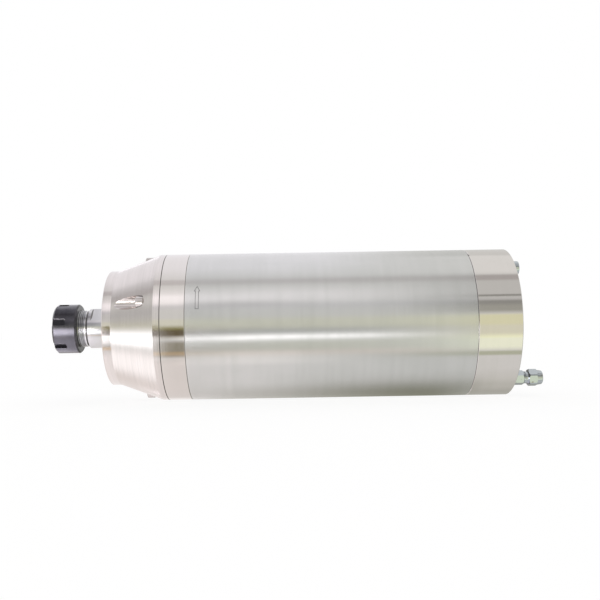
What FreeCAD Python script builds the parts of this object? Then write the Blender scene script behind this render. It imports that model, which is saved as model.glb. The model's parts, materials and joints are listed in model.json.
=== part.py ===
import FreeCAD, Part

import math
import os
from collections import namedtuple

# A water-cooled milling motor spindle, lying along X, in millimetres.
# The origin is on the spindle axis at the mouth of the tool collet. The nose points to -X,
# the connections are at +X, and +Z is up. Angles about the axis start at the -Y side and
# grow towards +Z.

V = FreeCAD.Vector
ORIGIN = V(0, 0, 0)
ALONG = V(1, 0, 0)

# Fits, all as clearances on the radius or on a face
LOCATING_FIT = 0.02
RUNNING_FIT = 0.05
LABYRINTH_GAP = 0.3
SCREW_CLEARANCE = 0.25
SEAM_CHAMFER = 0.35
EDGE = 0.5

# How far a cutting tool runs past the face that it opens
PAST = 1.0

# Casing
BODY_R = 62.5
LAND_R = 49.0
LAND_L = 7.5
CONE_L = 36.0
REAR_LAND_L = 5.3
FLANGE_L = 19.8
JACKET_L = 232.8
CAP_L = 35.0
JACKET_WALL = 4.0
SPIGOT_L = 8.0

# Collet nut
NUT_R = 21.0
NUT_L = 20.0
NUT_BEVEL = 1.6
NUT_BACK_BEVEL = 1.1
NUT_SLOTS = 6
NUT_SLOT_W = 5.5
NUT_SLOT_L = 10.9
NUT_SLOT_CORNER = 1.3
NUT_SLOT_DEPTH = 2.5
NUT_SLOT_ANGLE = 16.3
NUT_SLOT_BREAK = 0.35
NUT_THREAD_D = 32.0
NUT_THREAD_PITCH = 1.5
PITCH_LINE_SHARE = 0.32476
NUT_RING_PLAY = 0.3
NUT_RING_SHIFT = 1.0

# Collet
COLLET_L = 34.0
COLLET_R = 13.0
COLLET_BORE_R = 6.0
COLLET_HEAD_ANGLE = 30.0
COLLET_TAPER_ANGLE = 8.0
COLLET_CONE_L = 3.2
COLLET_RIM_L = 1.2
COLLET_GROOVE_L = 2.5
COLLET_GROOVE_DEPTH = 1.6
COLLET_SLITS = 8
COLLET_SLIT_W = 0.8
COLLET_SLIT_LEFT = 6.0

# Shaft
SHAFT_MOUTH_X = 7.5
NECK_L = 8.5
RELIEF_L = 1.6
RELIEF_DEPTH = 0.9
JOURNAL_STEP = 0.5
JOURNAL_L = 19.5
FLAT_AF = 30.0
FLAT_START = 3.0
FLAT_END = 0.6
FLAT_ANGLE = 53.0
SHANK_BORE_R = 8.4
SHANK_BORE_L = 22.0
DRILL_TIP_SHARE = 0.58
FRONT_SHAFT_SHOULDER = 3.5
REAR_SHAFT_SHOULDER = 3.0
SHAFT_TAIL_L = 4.0

# Nose cone and its cover
COVER_R = 36.0
COVER_T = 5.0
COVER_SCREWS = 6
COVER_SCREW_INSET = 5.5
HUB_WALL = 11.0
NOSE_SCREW_INSET = 7.0
NOSE_SCREW_ANGLE = 21.5
NOSE_SCREW_SPREAD = 110.0
POCKET_PLAY = 0.5
POCKET_FLOOR = 35.0
LABYRINTH_WALL = 8.0
LABYRINTH_GROOVE_DEPTH = 1.0
LABYRINTH_L = 6.7
LABYRINTH_GROOVES = 2

# Bearings, two alike in front and two smaller ones behind
FRONT_BORE_R = 17.5
FRONT_OUTER_R = 31.0
FRONT_WIDTH = 14.0
FRONT_BALL_SHARE = 0.588
FRONT_BALLS = 13
REAR_BORE_R = 12.5
REAR_OUTER_R = 23.5
REAR_WIDTH = 12.0
REAR_BALL_SHARE = 0.577
REAR_BALLS = 12
SHOULDER_SHARE = 0.8
RELIEVED_SHARE = 0.93
CAGE_REACH_SHARE = 0.5
BALL_GAP = 0.03
CAGE_GAP = 0.1
CAGE_WEB = 1.4
FRONT_SPACER_L = 4.0
REAR_SPACER_L = 2.0
SPACER_WALL = 2.6
SHOULDER_STEP = 3.6

# Motor
FRONT_MOTOR_ROOM = 43.4
REAR_MOTOR_ROOM = 59.4
STATOR_YOKE = 6.0
AIR_GAP = 0.4
STATOR_SLOTS = 24
STATOR_SLOT_W = 4.4
STATOR_SLOT_DEPTH = 9.6
SLOT_MOUTH_W = 1.6
SLOT_LIP = 1.0
SLOT_LINER = 0.15
END_TURN_L = 18.0
END_TURN_GAP = 2.5
END_TURN_ROUND = 3.0
END_TURN_CLEAR = 3.0
ROTOR_BARS = 18
ROTOR_BAR_R = 2.6
ROTOR_BAR_DEPTH = 4.4
ROTOR_YOKE = 2.0
END_RING_L = 8.0
END_RING_WALL = 7.0

# Cooling sleeve
SLEEVE_WALL = 13.5
CHANNELS = 10
CHANNEL_DEPTH = 4.5
RIB_W = 6.0
CHANNEL_MARGIN = 2.0
CHANNEL_TURN = 14.0
PORT_R = 2.5
CROSS_PORT_R = 2.2

# Rear bearing seat
SLIDING_SLEEVE_WALL = 4.5
SLEEVE_LIP_L = 3.0
SLEEVE_LIP_H = 2.4
PRELOAD_SPRINGS = 2
SPRING_T = 0.8
SPRING_RISE = 1.2
SEAT_WALL = 8.0
SEAT_FRONT_WALL = 4.0
LOCK_NUT_L = 7.0
LOCK_NUT_WALL = 5.5
LOCK_NUT_SLOTS = 4
LOCK_NUT_SLOT_W = 4.0
LOCK_NUT_SLOT_DEPTH = 2.0

# Rear cap
CAP_WALL = 12.4
CAP_PORT_WALL = 0.6
CASE_SCREWS = 6
CASE_SCREW_INSET = 10.0
CAP_SCREW_SUNK = 1.0
PORT_ANGLE = -70.2
PORT_INSET = 12.24
PORT_THREAD_L = 8.0
MARK_R = 0.8
MARK_DEPTH = 0.9
MARK_ANGLE = 63.0

# Screws
NOSE_SCREW_R = 3.0
NOSE_SCREW_HEAD_R = 5.0
NOSE_SCREW_HEAD_L = 6.0
NOSE_SCREW_KEY_AF = 5.0
NOSE_SCREW_L = 26.0
CASE_SCREW_R = 2.5
CASE_SCREW_HEAD_R = 4.25
CASE_SCREW_HEAD_L = 5.0
CASE_SCREW_KEY_AF = 4.0
HOUSING_SCREW_L = 30.0
CAP_SCREW_L = 45.0
SOCKET_SCREW_R = 1.5
SOCKET_SCREW_HEAD_R = 2.3
SOCKET_SCREW_HEAD_L = 1.3
SOCKET_SCREW_KEY_AF = 1.5
SOCKET_SCREW_L = 8.0
SCREW_BEVEL_SHARE = 0.12
KEY_DEPTH_SHARE = 0.55
COVER_SCREW_R = 2.0
COVER_SCREW_HEAD_R = 3.8
COVER_SCREW_HEAD_L = 2.2
COVER_SCREW_L = 10.0
COVER_SCREW_KEY_AF = 2.5
FLUSH_KEY_SHARE = 0.7

# O-rings
O_RING_R = 0.9
O_RING_INSET = 3.2
O_RING_ROOM_SHARE = 1.3
PORT_O_RING_R = 0.6

# Water fittings
WASHER_T = 1.2
WASHER_R = 5.5
FITTING_THREAD_R = 4.0
HEX_AF = 11.0
HEX_L = 10.8
HEX_BEVEL = 0.4
HEX_BEVEL_SLOPE = 4.0
STEM_R = 5.0
INLET_STEM_L = 8.0
OUTLET_STEM_L = 5.6
TUBE_R = 3.0
TUBE_STOP = 7.0
WATER_BORE_R = 2.1
FERRULE_L = 4.2
FERRULE_WALL = 0.9
FERRULE_CONE_L = 2.2
FERRULE_CONE_DEPTH = 0.55
STEM_CONE_L = 5.0
STEM_CONE_RISE = 1.1
UNION_NUT_AF = 13.0
UNION_NUT_CORNER_R = 7.2
UNION_NUT_BEVEL = 0.7
UNION_NUT_L = 11.7
UNION_NUT_OPEN = 3.6
UNION_NUT_THREAD_L = 8.6
UNION_NUT_TAPER_L = 4.6
UNION_NUT_TAPER_R = 6.4
UNION_NUT_END_R = 5.7
UNION_NUT_STEP = 1.0
CAP_PLUG_R = 6.2
CAP_PLUG_L = 6.8
CAP_PLUG_ROUND = 1.2

# Power socket
SOCKET_GASKET_T = 0.8
SOCKET_FLANGE_T = 2.2
SOCKET_NECK_WALL = 1.0
SOCKET_BARREL_R = 10.0
SOCKET_BARREL_L = 11.0
SOCKET_BORE_R = 8.2
SOCKET_FLOOR = 2.0
SOCKET_SCREWS = 4
SOCKET_SCREW_BORDER = 0.2
SOCKET_SCREW_ANGLE = 45.0
SOCKET_KEY_W = 2.0
SOCKET_KEY_H = 0.9
PIN_R = 1.0
PIN_PITCH_R = 4.6
PIN_L = 4.0
PINS = 4

# Leads from the windings to the socket, two through each hole in the rear bearing seat
LEAD_R = 1.2
LEAD_GAP = 0.3
LEAD_HOLE_EDGE = 0.3
LEAD_BEND_R = 8.0
LEAD_END_L = 0.5

# A ball's radius is its share of the half height between a bearing's bore and outside
FRONT_BALL_R = FRONT_BALL_SHARE * (FRONT_OUTER_R - FRONT_BORE_R) / 2
REAR_BALL_R = REAR_BALL_SHARE * (REAR_OUTER_R - REAR_BORE_R) / 2

Bearing = namedtuple("Bearing", "bore_r outer_r width ball_r balls")
FRONT_BEARING = Bearing(FRONT_BORE_R, FRONT_OUTER_R, FRONT_WIDTH, FRONT_BALL_R, FRONT_BALLS)
REAR_BEARING = Bearing(REAR_BORE_R, REAR_OUTER_R, REAR_WIDTH, REAR_BALL_R, REAR_BALLS)

Screw = namedtuple("Screw", "shank_r head_r head_l key_af shank_l")
NOSE_SCREW = Screw(
    NOSE_SCREW_R, NOSE_SCREW_HEAD_R, NOSE_SCREW_HEAD_L, NOSE_SCREW_KEY_AF, NOSE_SCREW_L
)
HOUSING_SCREW = Screw(
    CASE_SCREW_R, CASE_SCREW_HEAD_R, CASE_SCREW_HEAD_L, CASE_SCREW_KEY_AF, HOUSING_SCREW_L
)
CAP_SCREW = HOUSING_SCREW._replace(shank_l=CAP_SCREW_L)
COVER_SCREW = Screw(
    COVER_SCREW_R, COVER_SCREW_HEAD_R, COVER_SCREW_HEAD_L, COVER_SCREW_KEY_AF, COVER_SCREW_L
)
SOCKET_SCREW = Screw(
    SOCKET_SCREW_R,
    SOCKET_SCREW_HEAD_R,
    SOCKET_SCREW_HEAD_L,
    SOCKET_SCREW_KEY_AF,
    SOCKET_SCREW_L,
)

# Stations along the axis, each from the one before
JOURNAL_X = NUT_L + NECK_L
NOSE_X = JOURNAL_X + JOURNAL_L
CONE_X = NOSE_X + LAND_L
REAR_LAND_X = CONE_X + CONE_L
FLANGE_X = REAR_LAND_X + REAR_LAND_L
JACKET_X = FLANGE_X + FLANGE_L
CAP_X = JACKET_X + JACKET_L
REAR_X = CAP_X + CAP_L
COVER_BACK_X = NOSE_X + COVER_T
FRONT_BEARING_X = COVER_BACK_X + LABYRINTH_GAP + LABYRINTH_L
FRONT_BEARING_2_X = FRONT_BEARING_X + FRONT_WIDTH + FRONT_SPACER_L
FRONT_SHOULDER_X = FRONT_BEARING_2_X + FRONT_WIDTH
POCKET_FLOOR_X = NOSE_X + POCKET_FLOOR
SLEEVE_X = JACKET_X + SPIGOT_L
SEAT_DISC_X = CAP_X - SPIGOT_L
HOUSING_SEAT_X = FLANGE_X + CASE_SCREW_HEAD_L + EDGE
HOUSING_SCREW_END_X = HOUSING_SEAT_X + HOUSING_SCREW_L
CAP_SEAT_X = REAR_X - CASE_SCREW_HEAD_L - CAP_SCREW_SUNK
CAP_SCREW_END_X = CAP_SEAT_X - CAP_SCREW_L
CHANNEL_X = HOUSING_SCREW_END_X + CHANNEL_MARGIN
CHANNEL_END = CAP_SCREW_END_X - CHANNEL_MARGIN
STACK_START = JACKET_X + FRONT_MOTOR_ROOM
STACK_END = CAP_X - REAR_MOTOR_ROOM
END_TURN_END = STACK_END + END_TURN_L
SEAT_FRONT_X = END_TURN_END + END_TURN_CLEAR
SPRING_X = SEAT_FRONT_X + SEAT_FRONT_WALL
SLIDING_SLEEVE_X = SPRING_X + PRELOAD_SPRINGS * (SPRING_T + SPRING_RISE)
REAR_BEARING_X = SLIDING_SLEEVE_X + SLEEVE_LIP_L
REAR_BEARING_2_X = REAR_BEARING_X + REAR_WIDTH + REAR_SPACER_L
LOCK_NUT_X = REAR_BEARING_2_X + REAR_WIDTH
SHAFT_END = LOCK_NUT_X + LOCK_NUT_L + SHAFT_TAIL_L
CAP_WALL_X = REAR_X - CAP_WALL
SHANK_BORE_X = COLLET_L

# Radii that follow from the sizes above
BORE_R = BODY_R - JACKET_WALL
STATOR_R = BORE_R - SLEEVE_WALL
SLOT_TOP_R = STATOR_R - STATOR_YOKE
STATOR_BORE_R = SLOT_TOP_R - STATOR_SLOT_DEPTH - SLOT_LIP
END_TURN_R = STATOR_R - END_TURN_GAP
ROTOR_R = STATOR_BORE_R - AIR_GAP
BAR_PITCH_R = ROTOR_R - ROTOR_BAR_DEPTH
ROTOR_SEAT_R = BAR_PITCH_R - ROTOR_BAR_R - ROTOR_YOKE
JOURNAL_R = FRONT_BORE_R - JOURNAL_STEP
FRONT_SHAFT_R = FRONT_BORE_R + FRONT_SHAFT_SHOULDER
REAR_SHAFT_R = REAR_BORE_R + REAR_SHAFT_SHOULDER
LABYRINTH_R = FRONT_BORE_R + LABYRINTH_WALL
LOCK_NUT_R = REAR_BORE_R + LOCK_NUT_WALL
HUB_R = FRONT_OUTER_R + HUB_WALL
FRONT_SHOULDER_R = FRONT_OUTER_R - SHOULDER_STEP
POCKET_R = NOSE_SCREW_HEAD_R + POCKET_PLAY
NOSE_SCREW_PITCH_R = BODY_R - NOSE_SCREW_INSET
CASE_SCREW_PITCH_R = BODY_R - CASE_SCREW_INSET
COVER_SCREW_PITCH_R = COVER_R - COVER_SCREW_INSET
PORT_PITCH_R = BODY_R - PORT_INSET
PORT_GROOVE_R = PORT_R + 2 * PORT_O_RING_R
CAP_CAVITY_R = PORT_PITCH_R - PORT_GROOVE_R - CAP_PORT_WALL
THREAD_R = NUT_THREAD_D / 2 - PITCH_LINE_SHARE * NUT_THREAD_PITCH
NECK_RELIEF_R = THREAD_R - RELIEF_DEPTH
CHANNEL_FLOOR_R = BORE_R - CHANNEL_DEPTH
SLIDING_SLEEVE_R = REAR_OUTER_R + SLIDING_SLEEVE_WALL
SEAT_BOSS_R = SLIDING_SLEEVE_R + SEAT_WALL
LEAD_PITCH_R = SEAT_BOSS_R + LEAD_GAP + LEAD_R
LEAD_ACROSS = LEAD_R + LEAD_GAP / 2
LEAD_HOLE_R = LEAD_ACROSS + LEAD_R + LEAD_HOLE_EDGE
GROOVE_BOTTOM_R = BORE_R - 2 * O_RING_R
SOCKET_NECK_R = SOCKET_BORE_R + SOCKET_NECK_WALL
SOCKET_SCREW_PITCH_R = SOCKET_BARREL_R + SOCKET_SCREW_HEAD_R + SOCKET_SCREW_BORDER
SOCKET_FLANGE_R = SOCKET_SCREW_PITCH_R + SOCKET_SCREW_HEAD_R + SOCKET_SCREW_BORDER

CASE_SCREW_SPACING = 360 / CASE_SCREWS
CASE_SCREW_ANGLES = [PORT_ANGLE + CASE_SCREW_SPACING * (k + 0.5) for k in range(CASE_SCREWS)]
NOSE_SCREW_ANGLES = [
    NOSE_SCREW_ANGLE + turn for turn in (0, 180, 180 - NOSE_SCREW_SPREAD, -NOSE_SCREW_SPREAD)
]
HOUSING_SCREW_ANGLES = [
    NOSE_SCREW_ANGLE - NOSE_SCREW_SPREAD / 2 + CASE_SCREW_SPACING * (k + 0.5)
    for k in range(CASE_SCREWS)
]
PORT_ANGLES = [PORT_ANGLE, PORT_ANGLE + 180]
LEAD_ANGLES = [PORT_ANGLE + 90, PORT_ANGLE + 270]


def turned(*outline):
    """A solid of revolution about the X axis through (x, radius) points."""
    points = [V(x, 0, r) for x, r in outline]
    return Part.Face(Part.makePolygon(points + points[:1])).revolve(ORIGIN, ALONG, 360)


def rod(x0, x1, radius):
    """A round bar on the axis."""
    return Part.makeCylinder(radius, x1 - x0, V(x0, 0, 0), ALONG)


def tube(x0, x1, inner_r, outer_r, bevel=0.0):
    """A ring on the axis whose two outer edges carry the same bevel."""
    if not bevel:
        return turned((x0, inner_r), (x0, outer_r), (x1, outer_r), (x1, inner_r))
    return turned(
        (x0, inner_r),
        (x0, outer_r - bevel),
        (x0 + bevel, outer_r),
        (x1 - bevel, outer_r),
        (x1, outer_r - bevel),
        (x1, inner_r),
    )


def hexagon(x0, x1, across_flats):
    """A hexagonal bar on the axis with flats facing +Y and -Y."""
    corner = across_flats / math.sqrt(3)
    turns = [math.radians(60 * k) for k in range(6)]
    points = [V(x0, corner * math.sin(a), corner * math.cos(a)) for a in turns]
    return Part.Face(Part.makePolygon(points + points[:1])).extrude(V(x1 - x0, 0, 0))


def slab(x0, x1, r0, r1, width):
    """A block on the -Y side, from radius r0 to r1."""
    return Part.makeBox(x1 - x0, r1 - r0, width, V(x0, -r1, -width / 2))


def spun(shape, angle):
    """A copy of the shape turned about the X axis, from -Y towards +Z."""
    copy = shape.copy()
    copy.rotate(ORIGIN, ALONG, -angle)
    return copy


def off_axis(shape, radius, angle):
    """A copy of a shape made on the axis, carried out to a radius at an angle."""
    copy = shape.copy()
    copy.translate(V(0, -radius, 0))
    return spun(copy, angle)


def evenly(count, start=0.0):
    """Angles spaced evenly round the axis."""
    return [start + 360 * k / count for k in range(count)]


def ringed(shape, radius, angles):
    """Copies of an axial shape on a circle."""
    return [off_axis(shape, radius, angle) for angle in angles]


def group(solids):
    """Several solids as one node."""
    return Part.makeCompound(solids)


def cap_screw(seat_x, screw, heading=1):
    """A socket-head screw on the axis, its head against seat_x and its shank along heading."""
    shank = turned(
        (0, 0),
        (0, screw.shank_r),
        (screw.shank_l - EDGE, screw.shank_r),
        (screw.shank_l, screw.shank_r - EDGE),
        (screw.shank_l, 0),
    )
    bevel = SCREW_BEVEL_SHARE * screw.head_r
    head = turned(
        (-screw.head_l, 0),
        (-screw.head_l, screw.head_r - bevel),
        (-screw.head_l + bevel, screw.head_r),
        (0, screw.head_r),
        (0, 0),
    )
    key_floor = -screw.head_l * (1 - KEY_DEPTH_SHARE)
    key = hexagon(-screw.head_l - PAST, key_floor, screw.key_af)
    solid = head.fuse(shank).cut(key).removeSplitter()
    if heading < 0:
        solid.rotate(ORIGIN, V(0, 0, 1), 180)
    solid.translate(V(seat_x, 0, 0))
    return solid


def screw_way(seat_x, end_x, screw, mouth_x):
    """The clearance for a socket-head screw: counterbore from mouth_x to seat_x, then the shank."""
    low, high = sorted((seat_x, mouth_x))
    counterbore = rod(low, high, screw.head_r + SCREW_CLEARANCE)
    low, high = sorted((seat_x, end_x))
    return counterbore.fuse(rod(low, high, screw.shank_r + SCREW_CLEARANCE))


def bearing_mid(x, bearing):
    """The plane of the ball centres of a bearing that starts at x."""
    return x + bearing.width / 2


def ball_circle_r(bearing):
    """The ball centres lie midway between bore and outside."""
    return (bearing.bore_r + bearing.outer_r) / 2


def race(x, bearing):
    """The ring-shaped track of a bearing's balls."""
    centre = V(bearing_mid(x, bearing), 0, 0)
    return Part.makeTorus(ball_circle_r(bearing), bearing.ball_r + BALL_GAP, centre, ALONG)


def inner_ring(x, bearing, open_side):
    """An angular contact inner ring with its lower shoulder on the open side."""
    high = ball_circle_r(bearing) - bearing.ball_r * SHOULDER_SHARE
    low = ball_circle_r(bearing) - bearing.ball_r * RELIEVED_SHARE
    front, rear = (low, high) if open_side < 0 else (high, low)
    middle = bearing_mid(x, bearing)
    blank = turned(
        (x, bearing.bore_r),
        (x, front - EDGE),
        (x + EDGE, front),
        (middle, front),
        (middle, rear),
        (x + bearing.width - EDGE, rear),
        (x + bearing.width, rear - EDGE),
        (x + bearing.width, bearing.bore_r),
    )
    return blank.cut(race(x, bearing))


def outer_ring(x, bearing, open_side):
    """An angular contact outer ring with its relieved shoulder on the open side."""
    high = ball_circle_r(bearing) + bearing.ball_r * SHOULDER_SHARE
    low = ball_circle_r(bearing) + bearing.ball_r * RELIEVED_SHARE
    front, rear = (low, high) if open_side < 0 else (high, low)
    middle = bearing_mid(x, bearing)
    outer = bearing.outer_r - LOCATING_FIT
    blank = turned(
        (x, outer - EDGE),
        (x + EDGE, outer),
        (x + bearing.width - EDGE, outer),
        (x + bearing.width, outer - EDGE),
        (x + bearing.width, rear + EDGE),
        (x + bearing.width - EDGE, rear),
        (middle, rear),
        (middle, front),
        (x + EDGE, front),
        (x, front + EDGE),
    )
    return blank.cut(race(x, bearing))


def ball_row(x, bearing):
    """The balls of one bearing."""
    ball = Part.makeSphere(bearing.ball_r, V(bearing_mid(x, bearing), 0, 0))
    return ringed(ball, ball_circle_r(bearing), evenly(bearing.balls))


def cage(x, bearing):
    """A solid cage with one round pocket for each ball."""
    half = bearing.ball_r + CAGE_GAP + CAGE_WEB
    middle = bearing_mid(x, bearing)
    circle_r = ball_circle_r(bearing)
    reach = CAGE_REACH_SHARE * bearing.ball_r
    blank = tube(middle - half, middle + half, circle_r - reach, circle_r + reach)
    pocket = Part.makeCylinder(
        bearing.ball_r + CAGE_GAP,
        2 * bearing.ball_r,
        V(middle, -circle_r - bearing.ball_r, 0),
        V(0, 1, 0),
    )
    return blank.cut([spun(pocket, angle) for angle in evenly(bearing.balls)])


def taper_r(x):
    """Radius of the collet's long taper at a place along the axis."""
    start = COLLET_CONE_L + COLLET_RIM_L + COLLET_GROOVE_L
    run = math.tan(math.radians(COLLET_TAPER_ANGLE))
    return COLLET_R - EDGE / 2 - (x - start) * run


def collet():
    """The slotted spring collet: a short front cone, a groove for the nut's ring and a long taper."""
    rim_x = COLLET_CONE_L + COLLET_RIM_L
    groove_x = rim_x + COLLET_GROOVE_L
    front_r = COLLET_R - COLLET_CONE_L * math.tan(math.radians(COLLET_HEAD_ANGLE))
    blank = turned(
        (0, COLLET_BORE_R),
        (0, front_r),
        (COLLET_CONE_L, COLLET_R),
        (rim_x, COLLET_R),
        (rim_x, COLLET_R - COLLET_GROOVE_DEPTH),
        (groove_x, COLLET_R - COLLET_GROOVE_DEPTH),
        (groove_x, taper_r(groove_x)),
        (COLLET_L - EDGE, taper_r(COLLET_L - EDGE)),
        (COLLET_L, taper_r(COLLET_L) - EDGE),
        (COLLET_L, COLLET_BORE_R),
    )
    span = 2 * (COLLET_R + PAST)
    slits = []
    for k in range(COLLET_SLITS // 2):
        turn = 360 * k / COLLET_SLITS
        corner = V(-PAST, -span / 2, -COLLET_SLIT_W / 2)
        front = Part.makeBox(COLLET_L - COLLET_SLIT_LEFT + PAST, span, COLLET_SLIT_W, corner)
        rear = front.copy()
        rear.translate(V(COLLET_SLIT_LEFT + PAST, 0, 0))
        slits.append(spun(front, turn))
        slits.append(spun(rear, turn + 180 / COLLET_SLITS))
    return blank.cut(slits)


def collet_nut():
    """The round clamping nut with spanner slots that are open towards its front face."""
    rim_x = COLLET_CONE_L + COLLET_RIM_L + RUNNING_FIT
    ring_x = rim_x + nut_ring_length()
    front_r = COLLET_R - COLLET_CONE_L * math.tan(math.radians(COLLET_HEAD_ANGLE))
    bore = THREAD_R + RUNNING_FIT
    body = turned(
        (0, front_r + RUNNING_FIT),
        (0, NUT_R - NUT_BEVEL),
        (NUT_BEVEL, NUT_R),
        (NUT_L - NUT_BACK_BEVEL, NUT_R),
        (NUT_L, NUT_R - NUT_BACK_BEVEL),
        (NUT_L, bore + EDGE),
        (NUT_L - EDGE, bore),
        (ring_x, bore),
        (ring_x, nut_ring_r()),
        (rim_x, nut_ring_r()),
        (rim_x, COLLET_R + RUNNING_FIT),
        (COLLET_CONE_L, COLLET_R + RUNNING_FIT),
    )
    floor = NUT_R - NUT_SLOT_DEPTH
    slot = Part.Face(slot_outline(floor, 0)).extrude(V(0, -NUT_SLOT_DEPTH - PAST, 0))
    inside = slot_outline(NUT_R - NUT_SLOT_BREAK, 0)
    outside = slot_outline(NUT_R + NUT_SLOT_BREAK, 2 * NUT_SLOT_BREAK)
    broken_edge = Part.makeLoft([inside, outside], True)
    angles = evenly(NUT_SLOTS, NUT_SLOT_ANGLE)
    return body.cut([spun(tool, angle) for tool in (slot, broken_edge) for angle in angles])


def slot_outline(radius, spread):
    """The outline of a spanner slot seen from -Y, open past the nut's front, its inner corners round."""
    half = NUT_SLOT_W / 2 + spread
    end = NUT_SLOT_L + spread
    corner = NUT_SLOT_CORNER + spread
    bulge = corner * (1 - math.sqrt(0.5))

    def at(x, z):
        return V(x, -radius, z)

    sides = []
    for side in (-1, 1):
        turn = Part.Arc(
            at(end - corner, side * half),
            at(end - bulge, side * (half - bulge)),
            at(end, side * (half - corner)),
        )
        sides.append(turn.toShape())
        sides.append(Part.makeLine(at(-PAST, side * half), at(end - corner, side * half)))
    back = Part.makeLine(at(end, corner - half), at(end, half - corner))
    front = Part.makeLine(at(-PAST, -half), at(-PAST, half))
    return Part.Wire(Part.__sortEdges__(sides + [back, front]))


def nut_ring_length():
    """The ring's length fills the collet's groove less its play."""
    return COLLET_GROOVE_L - 2 * RUNNING_FIT - LABYRINTH_GAP


def nut_ring_r():
    """The ring's seat in the nut, just inside the thread."""
    return THREAD_R - EDGE


def nut_ring():
    """The ring in the nut whose off-centre bore catches the collet's groove on one side."""
    rim_x = COLLET_CONE_L + COLLET_RIM_L + RUNNING_FIT
    inner = COLLET_R + NUT_RING_PLAY
    ring = rod(rim_x, rim_x + nut_ring_length(), nut_ring_r())
    hole = Part.makeCylinder(inner, NUT_L, V(0, 0, NUT_RING_SHIFT), ALONG)
    return ring.cut(hole)


def spindle_shaft():
    """The shaft: collet socket, nut thread, flats, bearing seats, rotor seat and lock nut thread."""
    socket_end = COLLET_L
    neck_end = JOURNAL_X - RELIEF_L
    body = turned(
        (SHAFT_MOUTH_X, 0),
        (SHAFT_MOUTH_X, THREAD_R - EDGE),
        (SHAFT_MOUTH_X + EDGE, THREAD_R),
        (neck_end, THREAD_R),
        (neck_end, NECK_RELIEF_R),
        (JOURNAL_X, NECK_RELIEF_R),
        (JOURNAL_X, JOURNAL_R - EDGE),
        (JOURNAL_X + EDGE, JOURNAL_R),
        (COVER_BACK_X, JOURNAL_R),
        (COVER_BACK_X, FRONT_BORE_R),
        (FRONT_SHOULDER_X, FRONT_BORE_R),
        (FRONT_SHOULDER_X, FRONT_SHAFT_R),
        (STACK_START - END_RING_L - EDGE, FRONT_SHAFT_R),
        (STACK_START - END_RING_L - EDGE, ROTOR_SEAT_R),
        (STACK_END + END_RING_L + EDGE, ROTOR_SEAT_R),
        (STACK_END + END_RING_L + EDGE, REAR_SHAFT_R),
        (REAR_BEARING_X, REAR_SHAFT_R),
        (REAR_BEARING_X, REAR_BORE_R),
        (SHAFT_END - EDGE, REAR_BORE_R),
        (SHAFT_END, REAR_BORE_R - EDGE),
        (SHAFT_END, 0),
    )
    drill_tip = SHANK_BORE_X + SHANK_BORE_L + SHANK_BORE_R * DRILL_TIP_SHARE
    socket = turned(
        (0, 0),
        (0, taper_r(0) + RUNNING_FIT),
        (socket_end, taper_r(socket_end) + RUNNING_FIT),
        (socket_end, SHANK_BORE_R),
        (SHANK_BORE_X + SHANK_BORE_L, SHANK_BORE_R),
        (drill_tip, 0),
    )
    flat = slab(
        JOURNAL_X + FLAT_START,
        NOSE_X - FLAT_END,
        FLAT_AF / 2,
        2 * JOURNAL_R,
        3 * JOURNAL_R,
    )
    flats = [spun(flat, FLAT_ANGLE), spun(flat, FLAT_ANGLE + 180)]
    return body.cut([socket] + flats)


def labyrinth_nut():
    """The grooved ring nut that clamps the front bearings and throws off coolant."""
    x = COVER_BACK_X + LABYRINTH_GAP
    ring = tube(x, x + LABYRINTH_L, FRONT_BORE_R, LABYRINTH_R)
    floor = LABYRINTH_R - LABYRINTH_GROOVE_DEPTH
    step = LABYRINTH_L / (2 * LABYRINTH_GROOVES + 1)
    grooves = [
        tube(x + step * (2 * k + 1), x + step * (2 * k + 2), floor, LABYRINTH_R + PAST)
        for k in range(LABYRINTH_GROOVES)
    ]
    return ring.cut(grooves)


def front_pair(make):
    """The two front bearings back to back, from one ring maker."""
    return [make(FRONT_BEARING_X, FRONT_BEARING, -1), make(FRONT_BEARING_2_X, FRONT_BEARING, 1)]


def rear_pair(make):
    """The two rear bearings in tandem, from one ring maker."""
    return [make(REAR_BEARING_X, REAR_BEARING, 1), make(REAR_BEARING_2_X, REAR_BEARING, 1)]


def front_inner_rings():
    return group(front_pair(inner_ring))


def front_outer_rings():
    return group(front_pair(outer_ring))


def front_balls():
    rows = ball_row(FRONT_BEARING_X, FRONT_BEARING) + ball_row(FRONT_BEARING_2_X, FRONT_BEARING)
    return group(rows)


def front_cages():
    return group([cage(FRONT_BEARING_X, FRONT_BEARING), cage(FRONT_BEARING_2_X, FRONT_BEARING)])


def rear_inner_rings():
    return group(rear_pair(inner_ring))


def rear_outer_rings():
    return group(rear_pair(outer_ring))


def rear_balls():
    rows = ball_row(REAR_BEARING_X, REAR_BEARING) + ball_row(REAR_BEARING_2_X, REAR_BEARING)
    return group(rows)


def rear_cages():
    return group([cage(REAR_BEARING_X, REAR_BEARING), cage(REAR_BEARING_2_X, REAR_BEARING)])


def front_inner_spacer():
    x = FRONT_BEARING_X + FRONT_WIDTH
    return tube(x, x + FRONT_SPACER_L, FRONT_BORE_R, FRONT_BORE_R + SPACER_WALL)


def front_outer_spacer():
    x = FRONT_BEARING_X + FRONT_WIDTH
    outer = FRONT_OUTER_R - LOCATING_FIT
    return tube(x, x + FRONT_SPACER_L, outer - SPACER_WALL, outer)


def rear_inner_spacer():
    x = REAR_BEARING_X + REAR_WIDTH
    return tube(x, x + REAR_SPACER_L, REAR_BORE_R, REAR_BORE_R + SPACER_WALL)


def rear_outer_spacer():
    x = REAR_BEARING_X + REAR_WIDTH
    outer = REAR_OUTER_R - LOCATING_FIT
    return tube(x, x + REAR_SPACER_L, outer - SPACER_WALL, outer)


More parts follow.
